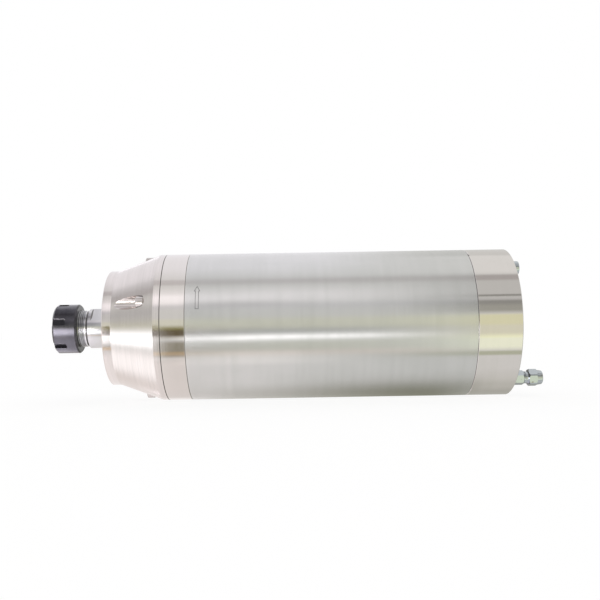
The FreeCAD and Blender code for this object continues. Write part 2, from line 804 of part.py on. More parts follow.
def nose_cone():
    """The conical nose: a bright front land, the cone with its screw pockets, a rear land."""
    hub_bore = HUB_R + LOCATING_FIT
    body = turned(
        (NOSE_X, COVER_R + LOCATING_FIT),
        (NOSE_X, LAND_R - EDGE),
        (NOSE_X + EDGE, LAND_R),
        (CONE_X, LAND_R),
        (REAR_LAND_X, BODY_R),
        (FLANGE_X - SEAM_CHAMFER, BODY_R),
        (FLANGE_X, BODY_R - SEAM_CHAMFER),
        (FLANGE_X, hub_bore),
        (FRONT_BEARING_X, hub_bore),
        (FRONT_BEARING_X, LABYRINTH_R + LABYRINTH_GAP),
        (COVER_BACK_X, LABYRINTH_R + LABYRINTH_GAP),
        (COVER_BACK_X, COVER_R + LOCATING_FIT),
    )
    pocket = rod(NOSE_X - PAST, POCKET_FLOOR_X, POCKET_R)
    way = pocket.fuse(rod(POCKET_FLOOR_X, FLANGE_X + PAST, NOSE_SCREW_R + SCREW_CLEARANCE))
    tapped = rod(COVER_BACK_X - PAST, NOSE_X + COVER_SCREW_L, COVER_SCREW_R)
    ways = ringed(way, NOSE_SCREW_PITCH_R, NOSE_SCREW_ANGLES)
    holes = ringed(tapped, COVER_SCREW_PITCH_R, evenly(COVER_SCREWS))
    return body.cut(ways + holes)


def nose_screws():
    screw = cap_screw(POCKET_FLOOR_X, NOSE_SCREW)
    return group(ringed(screw, NOSE_SCREW_PITCH_R, NOSE_SCREW_ANGLES))


def countersunk(face_x, screw, heading=1):
    """A countersunk screw without its key, flush with face_x. The same form cuts its seat."""
    solid = turned(
        (0, 0),
        (0, screw.head_r),
        (screw.head_l, screw.shank_r),
        (screw.shank_l, screw.shank_r),
        (screw.shank_l, 0),
    )
    if heading < 0:
        solid.rotate(ORIGIN, V(0, 0, 1), 180)
    solid.translate(V(face_x, 0, 0))
    return solid


def flush_screw(face_x, screw, heading=1):
    """A countersunk screw with its hexagon key."""
    key_floor = face_x + heading * screw.head_l * FLUSH_KEY_SHARE
    low, high = sorted((face_x - heading * PAST, key_floor))
    return countersunk(face_x, screw, heading).cut(hexagon(low, high, screw.key_af))


def front_cover():
    """The flat plate let into the nose face, with a close hole for the shaft."""
    plate = tube(NOSE_X, COVER_BACK_X, JOURNAL_R + LABYRINTH_GAP, COVER_R)
    seat = countersunk(NOSE_X, COVER_SCREW)
    return plate.cut(ringed(seat, COVER_SCREW_PITCH_R, evenly(COVER_SCREWS)))


def front_cover_screws():
    screw = flush_screw(NOSE_X, COVER_SCREW)
    return group(ringed(screw, COVER_SCREW_PITCH_R, evenly(COVER_SCREWS)))


def o_ring_groove(x):
    """The groove that a casing O-ring sits in, cut into a spigot."""
    half = O_RING_R * O_RING_ROOM_SHARE
    return tube(x - half, x + half, GROOVE_BOTTOM_R, BODY_R)


def front_bearing_housing():
    """The flange ring between nose and jacket, with the bearing hub in front and a spigot behind."""
    cavity_x = JACKET_X - EDGE
    spigot_r = BORE_R - LOCATING_FIT
    body = turned(
        (FRONT_BEARING_X, FRONT_OUTER_R),
        (FRONT_BEARING_X, HUB_R - EDGE),
        (FRONT_BEARING_X + EDGE, HUB_R),
        (FLANGE_X, HUB_R),
        (FLANGE_X, BODY_R - SEAM_CHAMFER),
        (FLANGE_X + SEAM_CHAMFER, BODY_R),
        (JACKET_X - SEAM_CHAMFER, BODY_R),
        (JACKET_X, BODY_R - SEAM_CHAMFER),
        (JACKET_X, spigot_r),
        (SLEEVE_X, spigot_r),
        (SLEEVE_X, STATOR_R),
        (cavity_x, STATOR_R),
        (cavity_x, FRONT_SHOULDER_R),
        (FRONT_SHOULDER_X, FRONT_SHOULDER_R),
        (FRONT_SHOULDER_X, FRONT_OUTER_R),
    )
    nose_hole = rod(FLANGE_X - PAST, POCKET_FLOOR_X + NOSE_SCREW_L, NOSE_SCREW_R)
    way = screw_way(HOUSING_SEAT_X, SLEEVE_X + PAST, HOUSING_SCREW, FLANGE_X - PAST)
    tools = ringed(nose_hole, NOSE_SCREW_PITCH_R, NOSE_SCREW_ANGLES)
    tools += ringed(way, CASE_SCREW_PITCH_R, HOUSING_SCREW_ANGLES)
    return body.cut(tools + [o_ring_groove(JACKET_X + O_RING_INSET)])


def front_housing_screws():
    screw = cap_screw(HOUSING_SEAT_X, HOUSING_SCREW)
    return group(ringed(screw, CASE_SCREW_PITCH_R, HOUSING_SCREW_ANGLES))


def mark():
    """The drill point on the rear seam that lines up jacket and cap."""
    point = Part.makeCylinder(MARK_R, MARK_DEPTH + PAST, V(CAP_X, -BODY_R - PAST, 0), V(0, 1, 0))
    return spun(point, MARK_ANGLE)


def jacket():
    """The long outer tube of the casing."""
    return tube(JACKET_X, CAP_X, BORE_R, BODY_R, SEAM_CHAMFER).cut(mark())


def cooling_sleeve():
    """The inner tube with lengthways water channels that join at alternate ends."""
    outer = BORE_R - LOCATING_FIT
    body = tube(SLEEVE_X, SEAT_DISC_X, STATOR_R, outer)
    water = tube(CHANNEL_X, CHANNEL_END, CHANNEL_FLOOR_R, BODY_R)
    pitch = 360 / CHANNELS
    ribs = []
    for k in range(CHANNELS):
        opens_in_front = min(k, CHANNELS - 1 - k) % 2 == 0
        low = CHANNEL_X + (CHANNEL_TURN if opens_in_front else -PAST)
        high = CHANNEL_END - (-PAST if opens_in_front else CHANNEL_TURN)
        rib = slab(low, high, STATOR_R, BODY_R + PAST, RIB_W)
        ribs.append(spun(rib, PORT_ANGLE + pitch * (k + 0.5)))
    cross_x = CHANNEL_END - CROSS_PORT_R - EDGE
    axial = rod(cross_x - CROSS_PORT_R - EDGE, SEAT_DISC_X + PAST, PORT_R)
    cross = Part.makeCylinder(
        CROSS_PORT_R, BODY_R - PORT_PITCH_R, V(cross_x, -PORT_PITCH_R, 0), V(0, -1, 0)
    )
    ports = ringed(axial, PORT_PITCH_R, PORT_ANGLES) + [spun(cross, a) for a in PORT_ANGLES]
    front_hole = rod(SLEEVE_X - PAST, HOUSING_SCREW_END_X, CASE_SCREW_R)
    rear_hole = rod(CAP_SCREW_END_X, SEAT_DISC_X + PAST, CASE_SCREW_R)
    holes = ringed(front_hole, CASE_SCREW_PITCH_R, HOUSING_SCREW_ANGLES)
    holes += ringed(rear_hole, CASE_SCREW_PITCH_R, CASE_SCREW_ANGLES)
    return body.cut([water.cut(ribs)] + ports + holes)


def jacket_o_rings():
    """One ring in the front spigot and one in the rear."""
    middle = BORE_R - O_RING_R
    places = [JACKET_X + O_RING_INSET, CAP_X - O_RING_INSET]
    return group([Part.makeTorus(middle, O_RING_R, V(x, 0, 0), ALONG) for x in places])


def stator_slot():
    """One slot of the stator stack, on the -Y side: a narrow mouth, then the winding space."""
    low = STACK_START - PAST
    high = STACK_END + PAST
    space_r = STATOR_BORE_R + SLOT_LIP
    space = slab(low, high, space_r, SLOT_TOP_R, STATOR_SLOT_W)
    mouth = slab(low, high, STATOR_BORE_R - PAST, space_r + SLOT_LIP, SLOT_MOUTH_W)
    return space.fuse(mouth)


def stator_core():
    """The stator stack with its slots."""
    body = tube(STACK_START, STACK_END, STATOR_BORE_R, STATOR_R - LOCATING_FIT)
    return body.cut([spun(stator_slot(), angle) for angle in evenly(STATOR_SLOTS)])


def end_turns(x0, x1):
    """The ring of end turns at one end of the stack, rounded at its edges."""
    low = STATOR_BORE_R + SLOT_LIP + SLOT_LINER
    high = END_TURN_R
    soft = END_TURN_ROUND
    return turned(
        (x0, low + soft),
        (x0, high - soft),
        (x0 + soft, high),
        (x1 - soft, high),
        (x1, high - soft),
        (x1, low + soft),
        (x1 - soft, low),
        (x0 + soft, low),
    )


def stator_windings():
    """The coils: a bundle in each slot and a ring of end turns at each end."""
    low = STATOR_BORE_R + SLOT_LIP + SLOT_LINER
    depth = STATOR_SLOT_DEPTH - 2 * SLOT_LINER
    reach = END_TURN_L / 2
    bundle = slab(
        STACK_START - reach, STACK_END + reach, low, low + depth, STATOR_SLOT_W - 2 * SLOT_LINER
    )
    front = end_turns(STACK_START - END_TURN_L, STACK_START - SLOT_LINER)
    rear = end_turns(STACK_END + SLOT_LINER, END_TURN_END)
    bundles = [spun(bundle, angle) for angle in evenly(STATOR_SLOTS)]
    return front.fuse([rear] + bundles).removeSplitter()


def rotor_core():
    """The rotor stack with a hole for each bar."""
    body = tube(STACK_START, STACK_END, ROTOR_SEAT_R, ROTOR_R)
    bar = rod(STACK_START - PAST, STACK_END + PAST, ROTOR_BAR_R)
    return body.cut(ringed(bar, BAR_PITCH_R, evenly(ROTOR_BARS)))


def rotor_cage():
    """The squirrel cage: bars through the stack and a short-circuit ring at each end."""
    outer = ROTOR_R - EDGE
    inner = outer - END_RING_WALL
    front = tube(STACK_START - END_RING_L, STACK_START, inner, outer, EDGE)
    rear = tube(STACK_END, STACK_END + END_RING_L, inner, outer, EDGE)
    bar = rod(STACK_START - PAST, STACK_END + PAST, ROTOR_BAR_R)
    return front.fuse([rear] + ringed(bar, BAR_PITCH_R, evenly(ROTOR_BARS))).removeSplitter()


def lead_path(angle, side):
    """A lead's route: along through the seat's hole, in towards the axis, and back to its pin.
    The side is 1 or -1, for the lead on the far or the near side of its hole, going round."""
    pin_turn = math.radians(side * 180 / PINS)
    turn_x = (SHAFT_END + CAP_WALL_X) / 2
    end_bend_r = CAP_WALL_X - turn_x - LEAD_END_L
    outer = V(turn_x, -LEAD_PITCH_R, side * LEAD_ACROSS)
    inner = V(turn_x, -PIN_PITCH_R * math.cos(pin_turn), PIN_PITCH_R * math.sin(pin_turn))
    inward = (inner - outer).normalize()
    first = [outer - ALONG * LEAD_BEND_R, outer + inward * LEAD_BEND_R]
    last = [inner - inward * end_bend_r, inner + ALONG * end_bend_r]
    start = V(END_TURN_END, outer.y, outer.z)
    end = V(CAP_WALL_X, inner.y, inner.z)
    edges = [
        Part.makeLine(start, first[0]),
        bend(first[0], outer, first[1]),
        Part.makeLine(first[1], last[0]),
        bend(last[0], inner, last[1]),
        Part.makeLine(last[1], end),
    ]
    return spun(Part.Wire(edges), angle)


def bend(start, corner, end):
    """The arc that rounds a square corner between two points equally far from it."""
    centre = start + end - corner
    middle = centre + (corner - centre) * math.sqrt(0.5)
    return Part.Arc(start, middle, end).toShape()


def motor_leads():
    """The leads from the end turns to the socket pins."""
    leads = []
    for angle in LEAD_ANGLES:
        for side in (1, -1):
            path = lead_path(angle, side)
            section = Part.Wire([Part.makeCircle(LEAD_R, path.Vertexes[0].Point, ALONG)])
            leads.append(path.makePipeShell([section], True, True))
    return group(leads)


def rear_bearing_housing():
    """The disc behind the stator that carries the sliding rear bearing sleeve."""
    spigot_r = BORE_R - LOCATING_FIT
    bore = SLIDING_SLEEVE_R + RUNNING_FIT
    throat = REAR_OUTER_R - SLEEVE_LIP_H
    body = turned(
        (SEAT_FRONT_X, throat),
        (SEAT_FRONT_X, SEAT_BOSS_R - EDGE),
        (SEAT_FRONT_X + EDGE, SEAT_BOSS_R),
        (SEAT_DISC_X, SEAT_BOSS_R),
        (SEAT_DISC_X, spigot_r),
        (CAP_X, spigot_r),
        (CAP_X, bore),
        (SPRING_X, bore),
        (SPRING_X, throat),
    )
    port = rod(SEAT_DISC_X - PAST, CAP_X + PAST, PORT_R)
    hole = rod(SEAT_DISC_X - PAST, CAP_X + PAST, CASE_SCREW_R + SCREW_CLEARANCE)
    lead = rod(SEAT_DISC_X - PAST, CAP_X + PAST, LEAD_HOLE_R)
    tools = ringed(port, PORT_PITCH_R, PORT_ANGLES)
    tools += ringed(hole, CASE_SCREW_PITCH_R, CASE_SCREW_ANGLES)
    tools += ringed(lead, LEAD_PITCH_R, LEAD_ANGLES)
    tools += ringed(port_groove(SEAT_DISC_X, 1), PORT_PITCH_R, PORT_ANGLES)
    tools += [o_ring_groove(CAP_X - O_RING_INSET)]
    return body.cut(tools)


def port_groove(face_x, heading):
    """The counterbore round a water port that holds its small O-ring."""
    low, high = sorted((face_x, face_x + heading * 2 * PORT_O_RING_R))
    return rod(low, high, PORT_GROOVE_R)


def port_seals():
    """The four small O-rings where the water passes between pieces."""
    ring_r = PORT_R + PORT_O_RING_R
    places = [SEAT_DISC_X + PORT_O_RING_R, CAP_X + PORT_O_RING_R]
    rings = [Part.makeTorus(ring_r, PORT_O_RING_R, V(x, 0, 0), ALONG) for x in places]
    return group([off_axis(ring, PORT_PITCH_R, a) for ring in rings for a in PORT_ANGLES])


def rear_bearing_sleeve():
    """The sleeve that holds the rear outer rings and slides to keep them preloaded."""
    lip_r = REAR_OUTER_R - SLEEVE_LIP_H
    return turned(
        (SLIDING_SLEEVE_X, lip_r),
        (SLIDING_SLEEVE_X, SLIDING_SLEEVE_R),
        (LOCK_NUT_X, SLIDING_SLEEVE_R),
        (LOCK_NUT_X, REAR_OUTER_R),
        (REAR_BEARING_X, REAR_OUTER_R),
        (REAR_BEARING_X, lip_r),
    )


def preload_springs():
    """Two disc springs, edge to edge, that push the sleeve back."""
    inner = REAR_OUTER_R - SLEEVE_LIP_H + EDGE
    outer = SLIDING_SLEEVE_R - EDGE
    length = SPRING_T + SPRING_RISE
    low = turned(
        (SPRING_X, outer),
        (SPRING_X + SPRING_T, outer),
        (SPRING_X + length, inner),
        (SPRING_X + SPRING_RISE, inner),
    )
    high = low.mirror(V(SPRING_X + length, 0, 0), ALONG)
    return group([low, high])


def rear_lock_nut():
    """The slotted ring nut behind the rear bearings."""
    ring = tube(LOCK_NUT_X, LOCK_NUT_X + LOCK_NUT_L, REAR_BORE_R, LOCK_NUT_R, EDGE)
    floor = LOCK_NUT_R - LOCK_NUT_SLOT_DEPTH
    slot = slab(LOCK_NUT_X - PAST, SHAFT_END, floor, LOCK_NUT_R + PAST, LOCK_NUT_SLOT_W)
    return ring.cut([spun(slot, angle) for angle in evenly(LOCK_NUT_SLOTS)])


def rear_cap():
    """The cup that closes the rear, with the water ports and the power socket in its back wall."""
    body = turned(
        (CAP_X, CAP_CAVITY_R),
        (CAP_X, BODY_R - SEAM_CHAMFER),
        (CAP_X + SEAM_CHAMFER, BODY_R),
        (REAR_X - EDGE, BODY_R),
        (REAR_X, BODY_R - EDGE),
        (REAR_X, SOCKET_NECK_R + LOCATING_FIT),
        (CAP_WALL_X, SOCKET_NECK_R + LOCATING_FIT),
        (CAP_WALL_X, CAP_CAVITY_R),
    )
    port = rod(CAP_X - PAST, REAR_X + PAST, PORT_R)
    thread = rod(REAR_X - PORT_THREAD_L, REAR_X + PAST, FITTING_THREAD_R)
    way = screw_way(CAP_SEAT_X, CAP_X - PAST, CAP_SCREW, REAR_X + PAST)
    small = rod(socket_face() - SOCKET_SCREW_L, REAR_X + PAST, SOCKET_SCREW_R)
    tools = ringed(port.fuse(thread), PORT_PITCH_R, PORT_ANGLES)
    tools += ringed(port_groove(CAP_X, 1), PORT_PITCH_R, PORT_ANGLES)
    tools += ringed(way, CASE_SCREW_PITCH_R, CASE_SCREW_ANGLES)
    tools += ringed(small, SOCKET_SCREW_PITCH_R, evenly(SOCKET_SCREWS, SOCKET_SCREW_ANGLE))
    return body.cut(tools + [mark()])


def rear_cap_screws():
    screw = cap_screw(CAP_SEAT_X, CAP_SCREW, -1)
    return group(ringed(screw, CASE_SCREW_PITCH_R, CASE_SCREW_ANGLES))


def port_washers():
    """The black sealing washers under the two water fittings."""
    washer = tube(REAR_X, REAR_X + WASHER_T, FITTING_THREAD_R, WASHER_R)
    return group(ringed(washer, PORT_PITCH_R, PORT_ANGLES))


def fitting_body(stem_l):
    """A hose fitting on the axis: screwed-in shank, hexagon, and a threaded stem with a tube socket."""
    hex_x = REAR_X + WASHER_T
    stem_x = hex_x + HEX_L
    mouth_x = stem_x + stem_l
    corner = HEX_AF / math.sqrt(3)
    limit = turned(
        (hex_x, 0),
        (hex_x, corner + EDGE),
        (stem_x - HEX_BEVEL * HEX_BEVEL_SLOPE, corner + EDGE),
        (stem_x, HEX_AF / 2 - HEX_BEVEL),
        (stem_x, 0),
    )
    grip = hexagon(hex_x, stem_x, HEX_AF).common(limit)
    shank = rod(REAR_X - PORT_THREAD_L, hex_x, FITTING_THREAD_R)
    stem = rod(stem_x, mouth_x, STEM_R)
    tube_r = TUBE_R + RUNNING_FIT
    cone_x = mouth_x - STEM_CONE_L
    stop_x = cone_x - TUBE_STOP
    bore = turned(
        (REAR_X - PORT_THREAD_L - PAST, 0),
        (REAR_X - PORT_THREAD_L - PAST, WATER_BORE_R),
        (stop_x, WATER_BORE_R),
        (stop_x, tube_r),
        (cone_x, tube_r),
        (mouth_x, tube_r + STEM_CONE_RISE),
        (mouth_x + PAST, tube_r + STEM_CONE_RISE),
        (mouth_x + PAST, 0),
    )
    return grip.fuse([shank, stem]).cut(bore).removeSplitter()


def inlet_body():
    return off_axis(fitting_body(INLET_STEM_L), PORT_PITCH_R, PORT_ANGLES[0])


def outlet_body():
    return off_axis(fitting_body(OUTLET_STEM_L), PORT_PITCH_R, PORT_ANGLES[1])


def union_nut_x():
    """Where the union nut starts, drawn back so that some stem thread shows."""
    return REAR_X + WASHER_T + HEX_L + UNION_NUT_OPEN


def inlet_nut():
    """The hexagon union nut, tapered at its outer end, with a mouth for the tube."""
    x = union_nut_x()
    end = x + UNION_NUT_L
    taper_x = end - UNION_NUT_TAPER_L
    limit = turned(
        (x, 0),
        (x, UNION_NUT_CORNER_R - UNION_NUT_BEVEL),
        (x + UNION_NUT_BEVEL, UNION_NUT_CORNER_R),
        (taper_x - EDGE, UNION_NUT_CORNER_R),
        (taper_x, UNION_NUT_TAPER_R),
        (end - EDGE, UNION_NUT_END_R),
        (end, UNION_NUT_END_R - EDGE),
        (end, 0),
    )
    thread_end = x + UNION_NUT_THREAD_L
    mouth_r = TUBE_R + 3 * RUNNING_FIT
    bore = turned(
        (x - PAST, 0),
        (x - PAST, STEM_R + RUNNING_FIT),
        (thread_end, STEM_R + RUNNING_FIT),
        (thread_end + UNION_NUT_STEP, TUBE_R + FERRULE_WALL),
        (thread_end + UNION_NUT_STEP, mouth_r),
        (end + PAST, mouth_r),
        (end + PAST, 0),
    )
    nut = hexagon(x, end, UNION_NUT_AF).common(limit).cut(bore)
    return off_axis(nut, PORT_PITCH_R, PORT_ANGLES[0])


def inlet_ferrule():
    """The brass clamping ring that rides in the union nut."""
    end = union_nut_x() + UNION_NUT_THREAD_L + EDGE - RUNNING_FIT
    start = end - FERRULE_L
    inner = TUBE_R + RUNNING_FIT
    outer = inner + FERRULE_WALL
    ring = turned(
        (start, inner),
        (start, outer - FERRULE_CONE_DEPTH),
        (start + FERRULE_CONE_L, outer),
        (end, outer),
        (end, inner),
    )
    return off_axis(ring, PORT_PITCH_R, PORT_ANGLES[0])


def outlet_cap():
    """The smooth round cap that closes the second water fitting."""
    start = REAR_X + WASHER_T + HEX_L + RUNNING_FIT
    end = start + CAP_PLUG_L
    stem_end = REAR_X + WASHER_T + HEX_L + OUTLET_STEM_L + RUNNING_FIT
    shell = rod(start, end, CAP_PLUG_R)
    rim = [e for e in shell.Edges if abs(e.CenterOfMass.x - end) < EDGE / 10]
    shell = shell.makeFillet(CAP_PLUG_ROUND, rim)
    cap = shell.cut(rod(start - PAST, stem_end, STEM_R + RUNNING_FIT))
    return off_axis(cap, PORT_PITCH_R, PORT_ANGLES[1])


def socket_gasket():
    """The flat gasket under the socket flange."""
    ring = tube(REAR_X, REAR_X + SOCKET_GASKET_T, SOCKET_NECK_R + LOCATING_FIT, SOCKET_FLANGE_R)
    hole = rod(REAR_X - PAST, REAR_X + SOCKET_GASKET_T + PAST, SOCKET_SCREW_R)
    return ring.cut(ringed(hole, SOCKET_SCREW_PITCH_R, evenly(SOCKET_SCREWS, SOCKET_SCREW_ANGLE)))


def socket_face():
    """The outer face of the socket's flange."""
    return REAR_X + SOCKET_GASKET_T + SOCKET_FLANGE_T


def socket_shell():
    """The metal shell of the power socket: flange, threaded barrel and keyed bore."""
    flange_x = REAR_X + SOCKET_GASKET_T
    end = socket_face() + SOCKET_BARREL_L
    body = turned(
        (CAP_WALL_X, SOCKET_BORE_R),
        (CAP_WALL_X, SOCKET_NECK_R),
        (flange_x, SOCKET_NECK_R),
        (flange_x, SOCKET_FLANGE_R),
        (socket_face(), SOCKET_FLANGE_R),
        (socket_face(), SOCKET_BARREL_R),
        (end - EDGE, SOCKET_BARREL_R),
        (end, SOCKET_BARREL_R - EDGE),
        (end, SOCKET_BORE_R),
    )
    seat = countersunk(socket_face(), SOCKET_SCREW, -1)
    seats = ringed(seat, SOCKET_SCREW_PITCH_R, evenly(SOCKET_SCREWS, SOCKET_SCREW_ANGLE))
    key = slab(
        socket_face() + SOCKET_FLOOR,
        end,
        SOCKET_BORE_R - SOCKET_KEY_H,
        SOCKET_BORE_R + EDGE,
        SOCKET_KEY_W,
    )
    return body.cut(seats).fuse(spun(key, 90)).removeSplitter()


def socket_insert():
    """The insulating block that carries the pins."""
    end = socket_face() + SOCKET_FLOOR
    block = rod(CAP_WALL_X, end, SOCKET_BORE_R - LOCATING_FIT)
    hole = rod(CAP_WALL_X - PAST, end + PAST, PIN_R)
    return block.cut(ringed(hole, PIN_PITCH_R, pin_angles()))


def pin_angles():
    """The pins stand round the square whose sides face the lead holes."""
    return evenly(PINS, LEAD_ANGLES[0] + 180 / PINS)


def socket_pins():
    """The four contact pins, rounded in front."""
    end = socket_face() + SOCKET_FLOOR + PIN_L
    pin = turned(
        (CAP_WALL_X, 0),
        (CAP_WALL_X, PIN_R),
        (end - PIN_R / 2, PIN_R),
        (end, PIN_R / 2),
        (end, 0),
    )
    return group(ringed(pin, PIN_PITCH_R, pin_angles()))


def socket_screws():
    screw = flush_screw(socket_face(), SOCKET_SCREW, -1)
    return group(ringed(screw, SOCKET_SCREW_PITCH_R, evenly(SOCKET_SCREWS, SOCKET_SCREW_ANGLE)))


NODES = [
    collet_nut,
    nut_ring,
    collet,
    spindle_shaft,
    labyrinth_nut,
    front_inner_rings,
    front_inner_spacer,
    front_balls,
    front_cages,
    front_outer_rings,
    front_outer_spacer,
    front_bearing_housing,
    front_housing_screws,
    nose_cone,
    nose_screws,
    front_cover,
    front_cover_screws,
    jacket,
    jacket_o_rings,
    cooling_sleeve,
    stator_core,
    stator_windings,
    rotor_core,
    rotor_cage,
    motor_leads,
    rear_bearing_housing,
    rear_bearing_sleeve,
    preload_springs,
    rear_inner_rings,
    rear_inner_spacer,
    rear_balls,
    rear_cages,
    rear_outer_rings,
    rear_outer_spacer,
    rear_lock_nut,
    rear_cap,
    rear_cap_screws,
    port_seals,
    port_washers,
    inlet_body,
    inlet_ferrule,
    inlet_nut,
    outlet_body,
    outlet_cap,
    socket_gasket,
    socket_shell,
    socket_insert,
    socket_pins,
    socket_screws,
]

os.makedirs("parts", exist_ok=True)
for make in NODES:
    shape = make()
    shape.exportStep(os.path.join("parts", make.__name__ + ".step"))
    print(make.__name__, len(shape.Solids), round(shape.Volume, 1), shape.isValid())
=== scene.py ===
"""Looks of a water-cooled motor spindle: finishes, threads, turning arrow, studio, camera."""

import json
import logging
import math
from dataclasses import dataclass, field, replace
from enum import Enum
from typing import Iterable, Sequence, Union

import bpy
import numpy as np
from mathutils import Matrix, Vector


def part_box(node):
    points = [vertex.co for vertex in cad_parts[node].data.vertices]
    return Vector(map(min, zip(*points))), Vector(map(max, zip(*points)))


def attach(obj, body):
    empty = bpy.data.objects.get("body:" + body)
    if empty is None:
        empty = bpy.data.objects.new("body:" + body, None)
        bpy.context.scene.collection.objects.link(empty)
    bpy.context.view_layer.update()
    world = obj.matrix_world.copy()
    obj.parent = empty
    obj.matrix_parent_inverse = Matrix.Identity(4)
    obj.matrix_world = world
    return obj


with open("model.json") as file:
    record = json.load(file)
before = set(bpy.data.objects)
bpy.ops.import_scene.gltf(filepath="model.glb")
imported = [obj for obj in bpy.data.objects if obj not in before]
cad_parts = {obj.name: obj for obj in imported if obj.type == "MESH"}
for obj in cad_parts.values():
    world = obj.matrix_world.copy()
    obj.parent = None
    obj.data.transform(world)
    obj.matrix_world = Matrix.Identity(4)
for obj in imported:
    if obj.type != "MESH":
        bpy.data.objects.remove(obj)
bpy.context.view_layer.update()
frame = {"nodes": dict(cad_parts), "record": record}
LOG = logging.getLogger("spindle")
Colour = tuple[float, float, float]
Number = Union[float, "Socket"]
Tone = Union[Colour, "Socket"]


def span(node: str) -> tuple[float, float, float]:
    """Start, end and outer radius of a CAD node round the X axis, in metres, to a micron."""
    low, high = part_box(node)
    return round(low.x, 6), round(high.x, 6), round(high.z, 6)


NOSE_END = span("nose_cone")[1]
JACKET_START, JACKET_END, BODY_RADIUS = span("jacket")
NUT_LENGTH, NUT_RADIUS = span("collet_nut")[1:]
THREAD_END = 0.0262

# A dark band is its place along X and half its width. The seams are dark joints between rings;
# NECK_SHADE is painted shade on the neck just behind the nut, RELIEF_SHADE painted shade in the
# relief groove.
NOSE_SEAM = (NOSE_END, 0.00026)
FLANGE_SEAM = (JACKET_START, 0.0001)
CAP_SEAM = (JACKET_END, 0.00017)
NECK_SHADE = (NUT_LENGTH + 0.0008, 0.0011)
RELIEF_SHADE = (0.0277, 0.0006)

# The joints' own dark colour, also used for the painted shade bands on the shaft.
DARK_JOINT_AND_SHADE = (0.04, 0.035, 0.035)
SEAM_DEPTH = 0.85
WHITE = (1.0, 1.0, 1.0)


class Body(Enum):
    """The CAD bodies that the new pieces ride on."""

    HOUSING = "housing"
    ROTOR = "rotor"


class Slot(Enum):
    """The record's material slots."""

    BLACK_OXIDE = "black_oxide_steel"
    GROUND = "ground_steel"
    BEARING = "bearing_steel"
    CAGE_RESIN = "cage_resin"
    POLISHED = "polished_steel"
    CONE = "brushed_cone_steel"
    JACKET = "satin_jacket_steel"
    SCREW = "bright_screw_steel"
    SLEEVE = "sleeve_aluminium"
    CAST_CAGE = "cast_cage_aluminium"
    LAMINATION = "lamination_steel"
    WINDING = "winding_copper"
    RUBBER = "black_rubber"
    PLATED = "plated_brass"
    BRASS = "bare_brass"
    SHELL = "plated_shell"
    PLASTIC = "black_plastic"
    LEAD = "lead_insulation"
    GOLD = "contact_gold"


class Socket:
    """One output of a shader graph. Arithmetic on it adds Math nodes to the graph."""

    def __init__(self, graph: "Graph", output: bpy.types.NodeSocket) -> None:
        """Keeps the graph and the output that this socket stands for."""
        self.graph = graph
        self.output = output

    def _math(self, operation: str, first: Number, second: Number = 0.0) -> "Socket":
        """Adds one Math node that works on the two values."""
        return self.graph.node(
            "ShaderNodeMath", {"operation": operation}, {0: first, 1: second}
        )

    def __add__(self, other: Number) -> "Socket":
        """Sum of the two values."""
        return self._math("ADD", self, other)

    __radd__ = __add__

    def __sub__(self, other: Number) -> "Socket":
        """This value less the other."""
        return self._math("SUBTRACT", self, other)

    def __rsub__(self, other: Number) -> "Socket":
        """The other value less this one."""
        return self._math("SUBTRACT", other, self)

    def __mul__(self, other: Number) -> "Socket":
        """Product of the two values."""
        return self._math("MULTIPLY", self, other)

    __rmul__ = __mul__

    def __pow__(self, other: Number) -> "Socket":
        """This value raised to the other."""
        return self._math("POWER", self, other)

    def __neg__(self) -> "Socket":
        """This value with its sign turned."""
        return self._math("MULTIPLY", self, -1.0)

    def __abs__(self) -> "Socket":
        """Size of this value."""
        return self._math("ABSOLUTE", self)

    def maximum(self, other: Number) -> "Socket":
        """The larger of the two values."""
        return self._math("MAXIMUM", self, other)

    def wave(self) -> "Socket":
        """Sine of this value."""
        return self._math("SINE", self)

    def angle_to(self, across: Number) -> "Socket":
        """Angle of the direction (across, this), in radians."""
        return self._math("ARCTAN2", self, across)

    def distance_in(self, period: float) -> "Socket":
        """Signed distance to the nearest multiple of the period."""
        return self.graph.node(
            "ShaderNodeMath",
            {"operation": "WRAP"},
            {0: self, 1: period / 2, 2: -period / 2},
        )


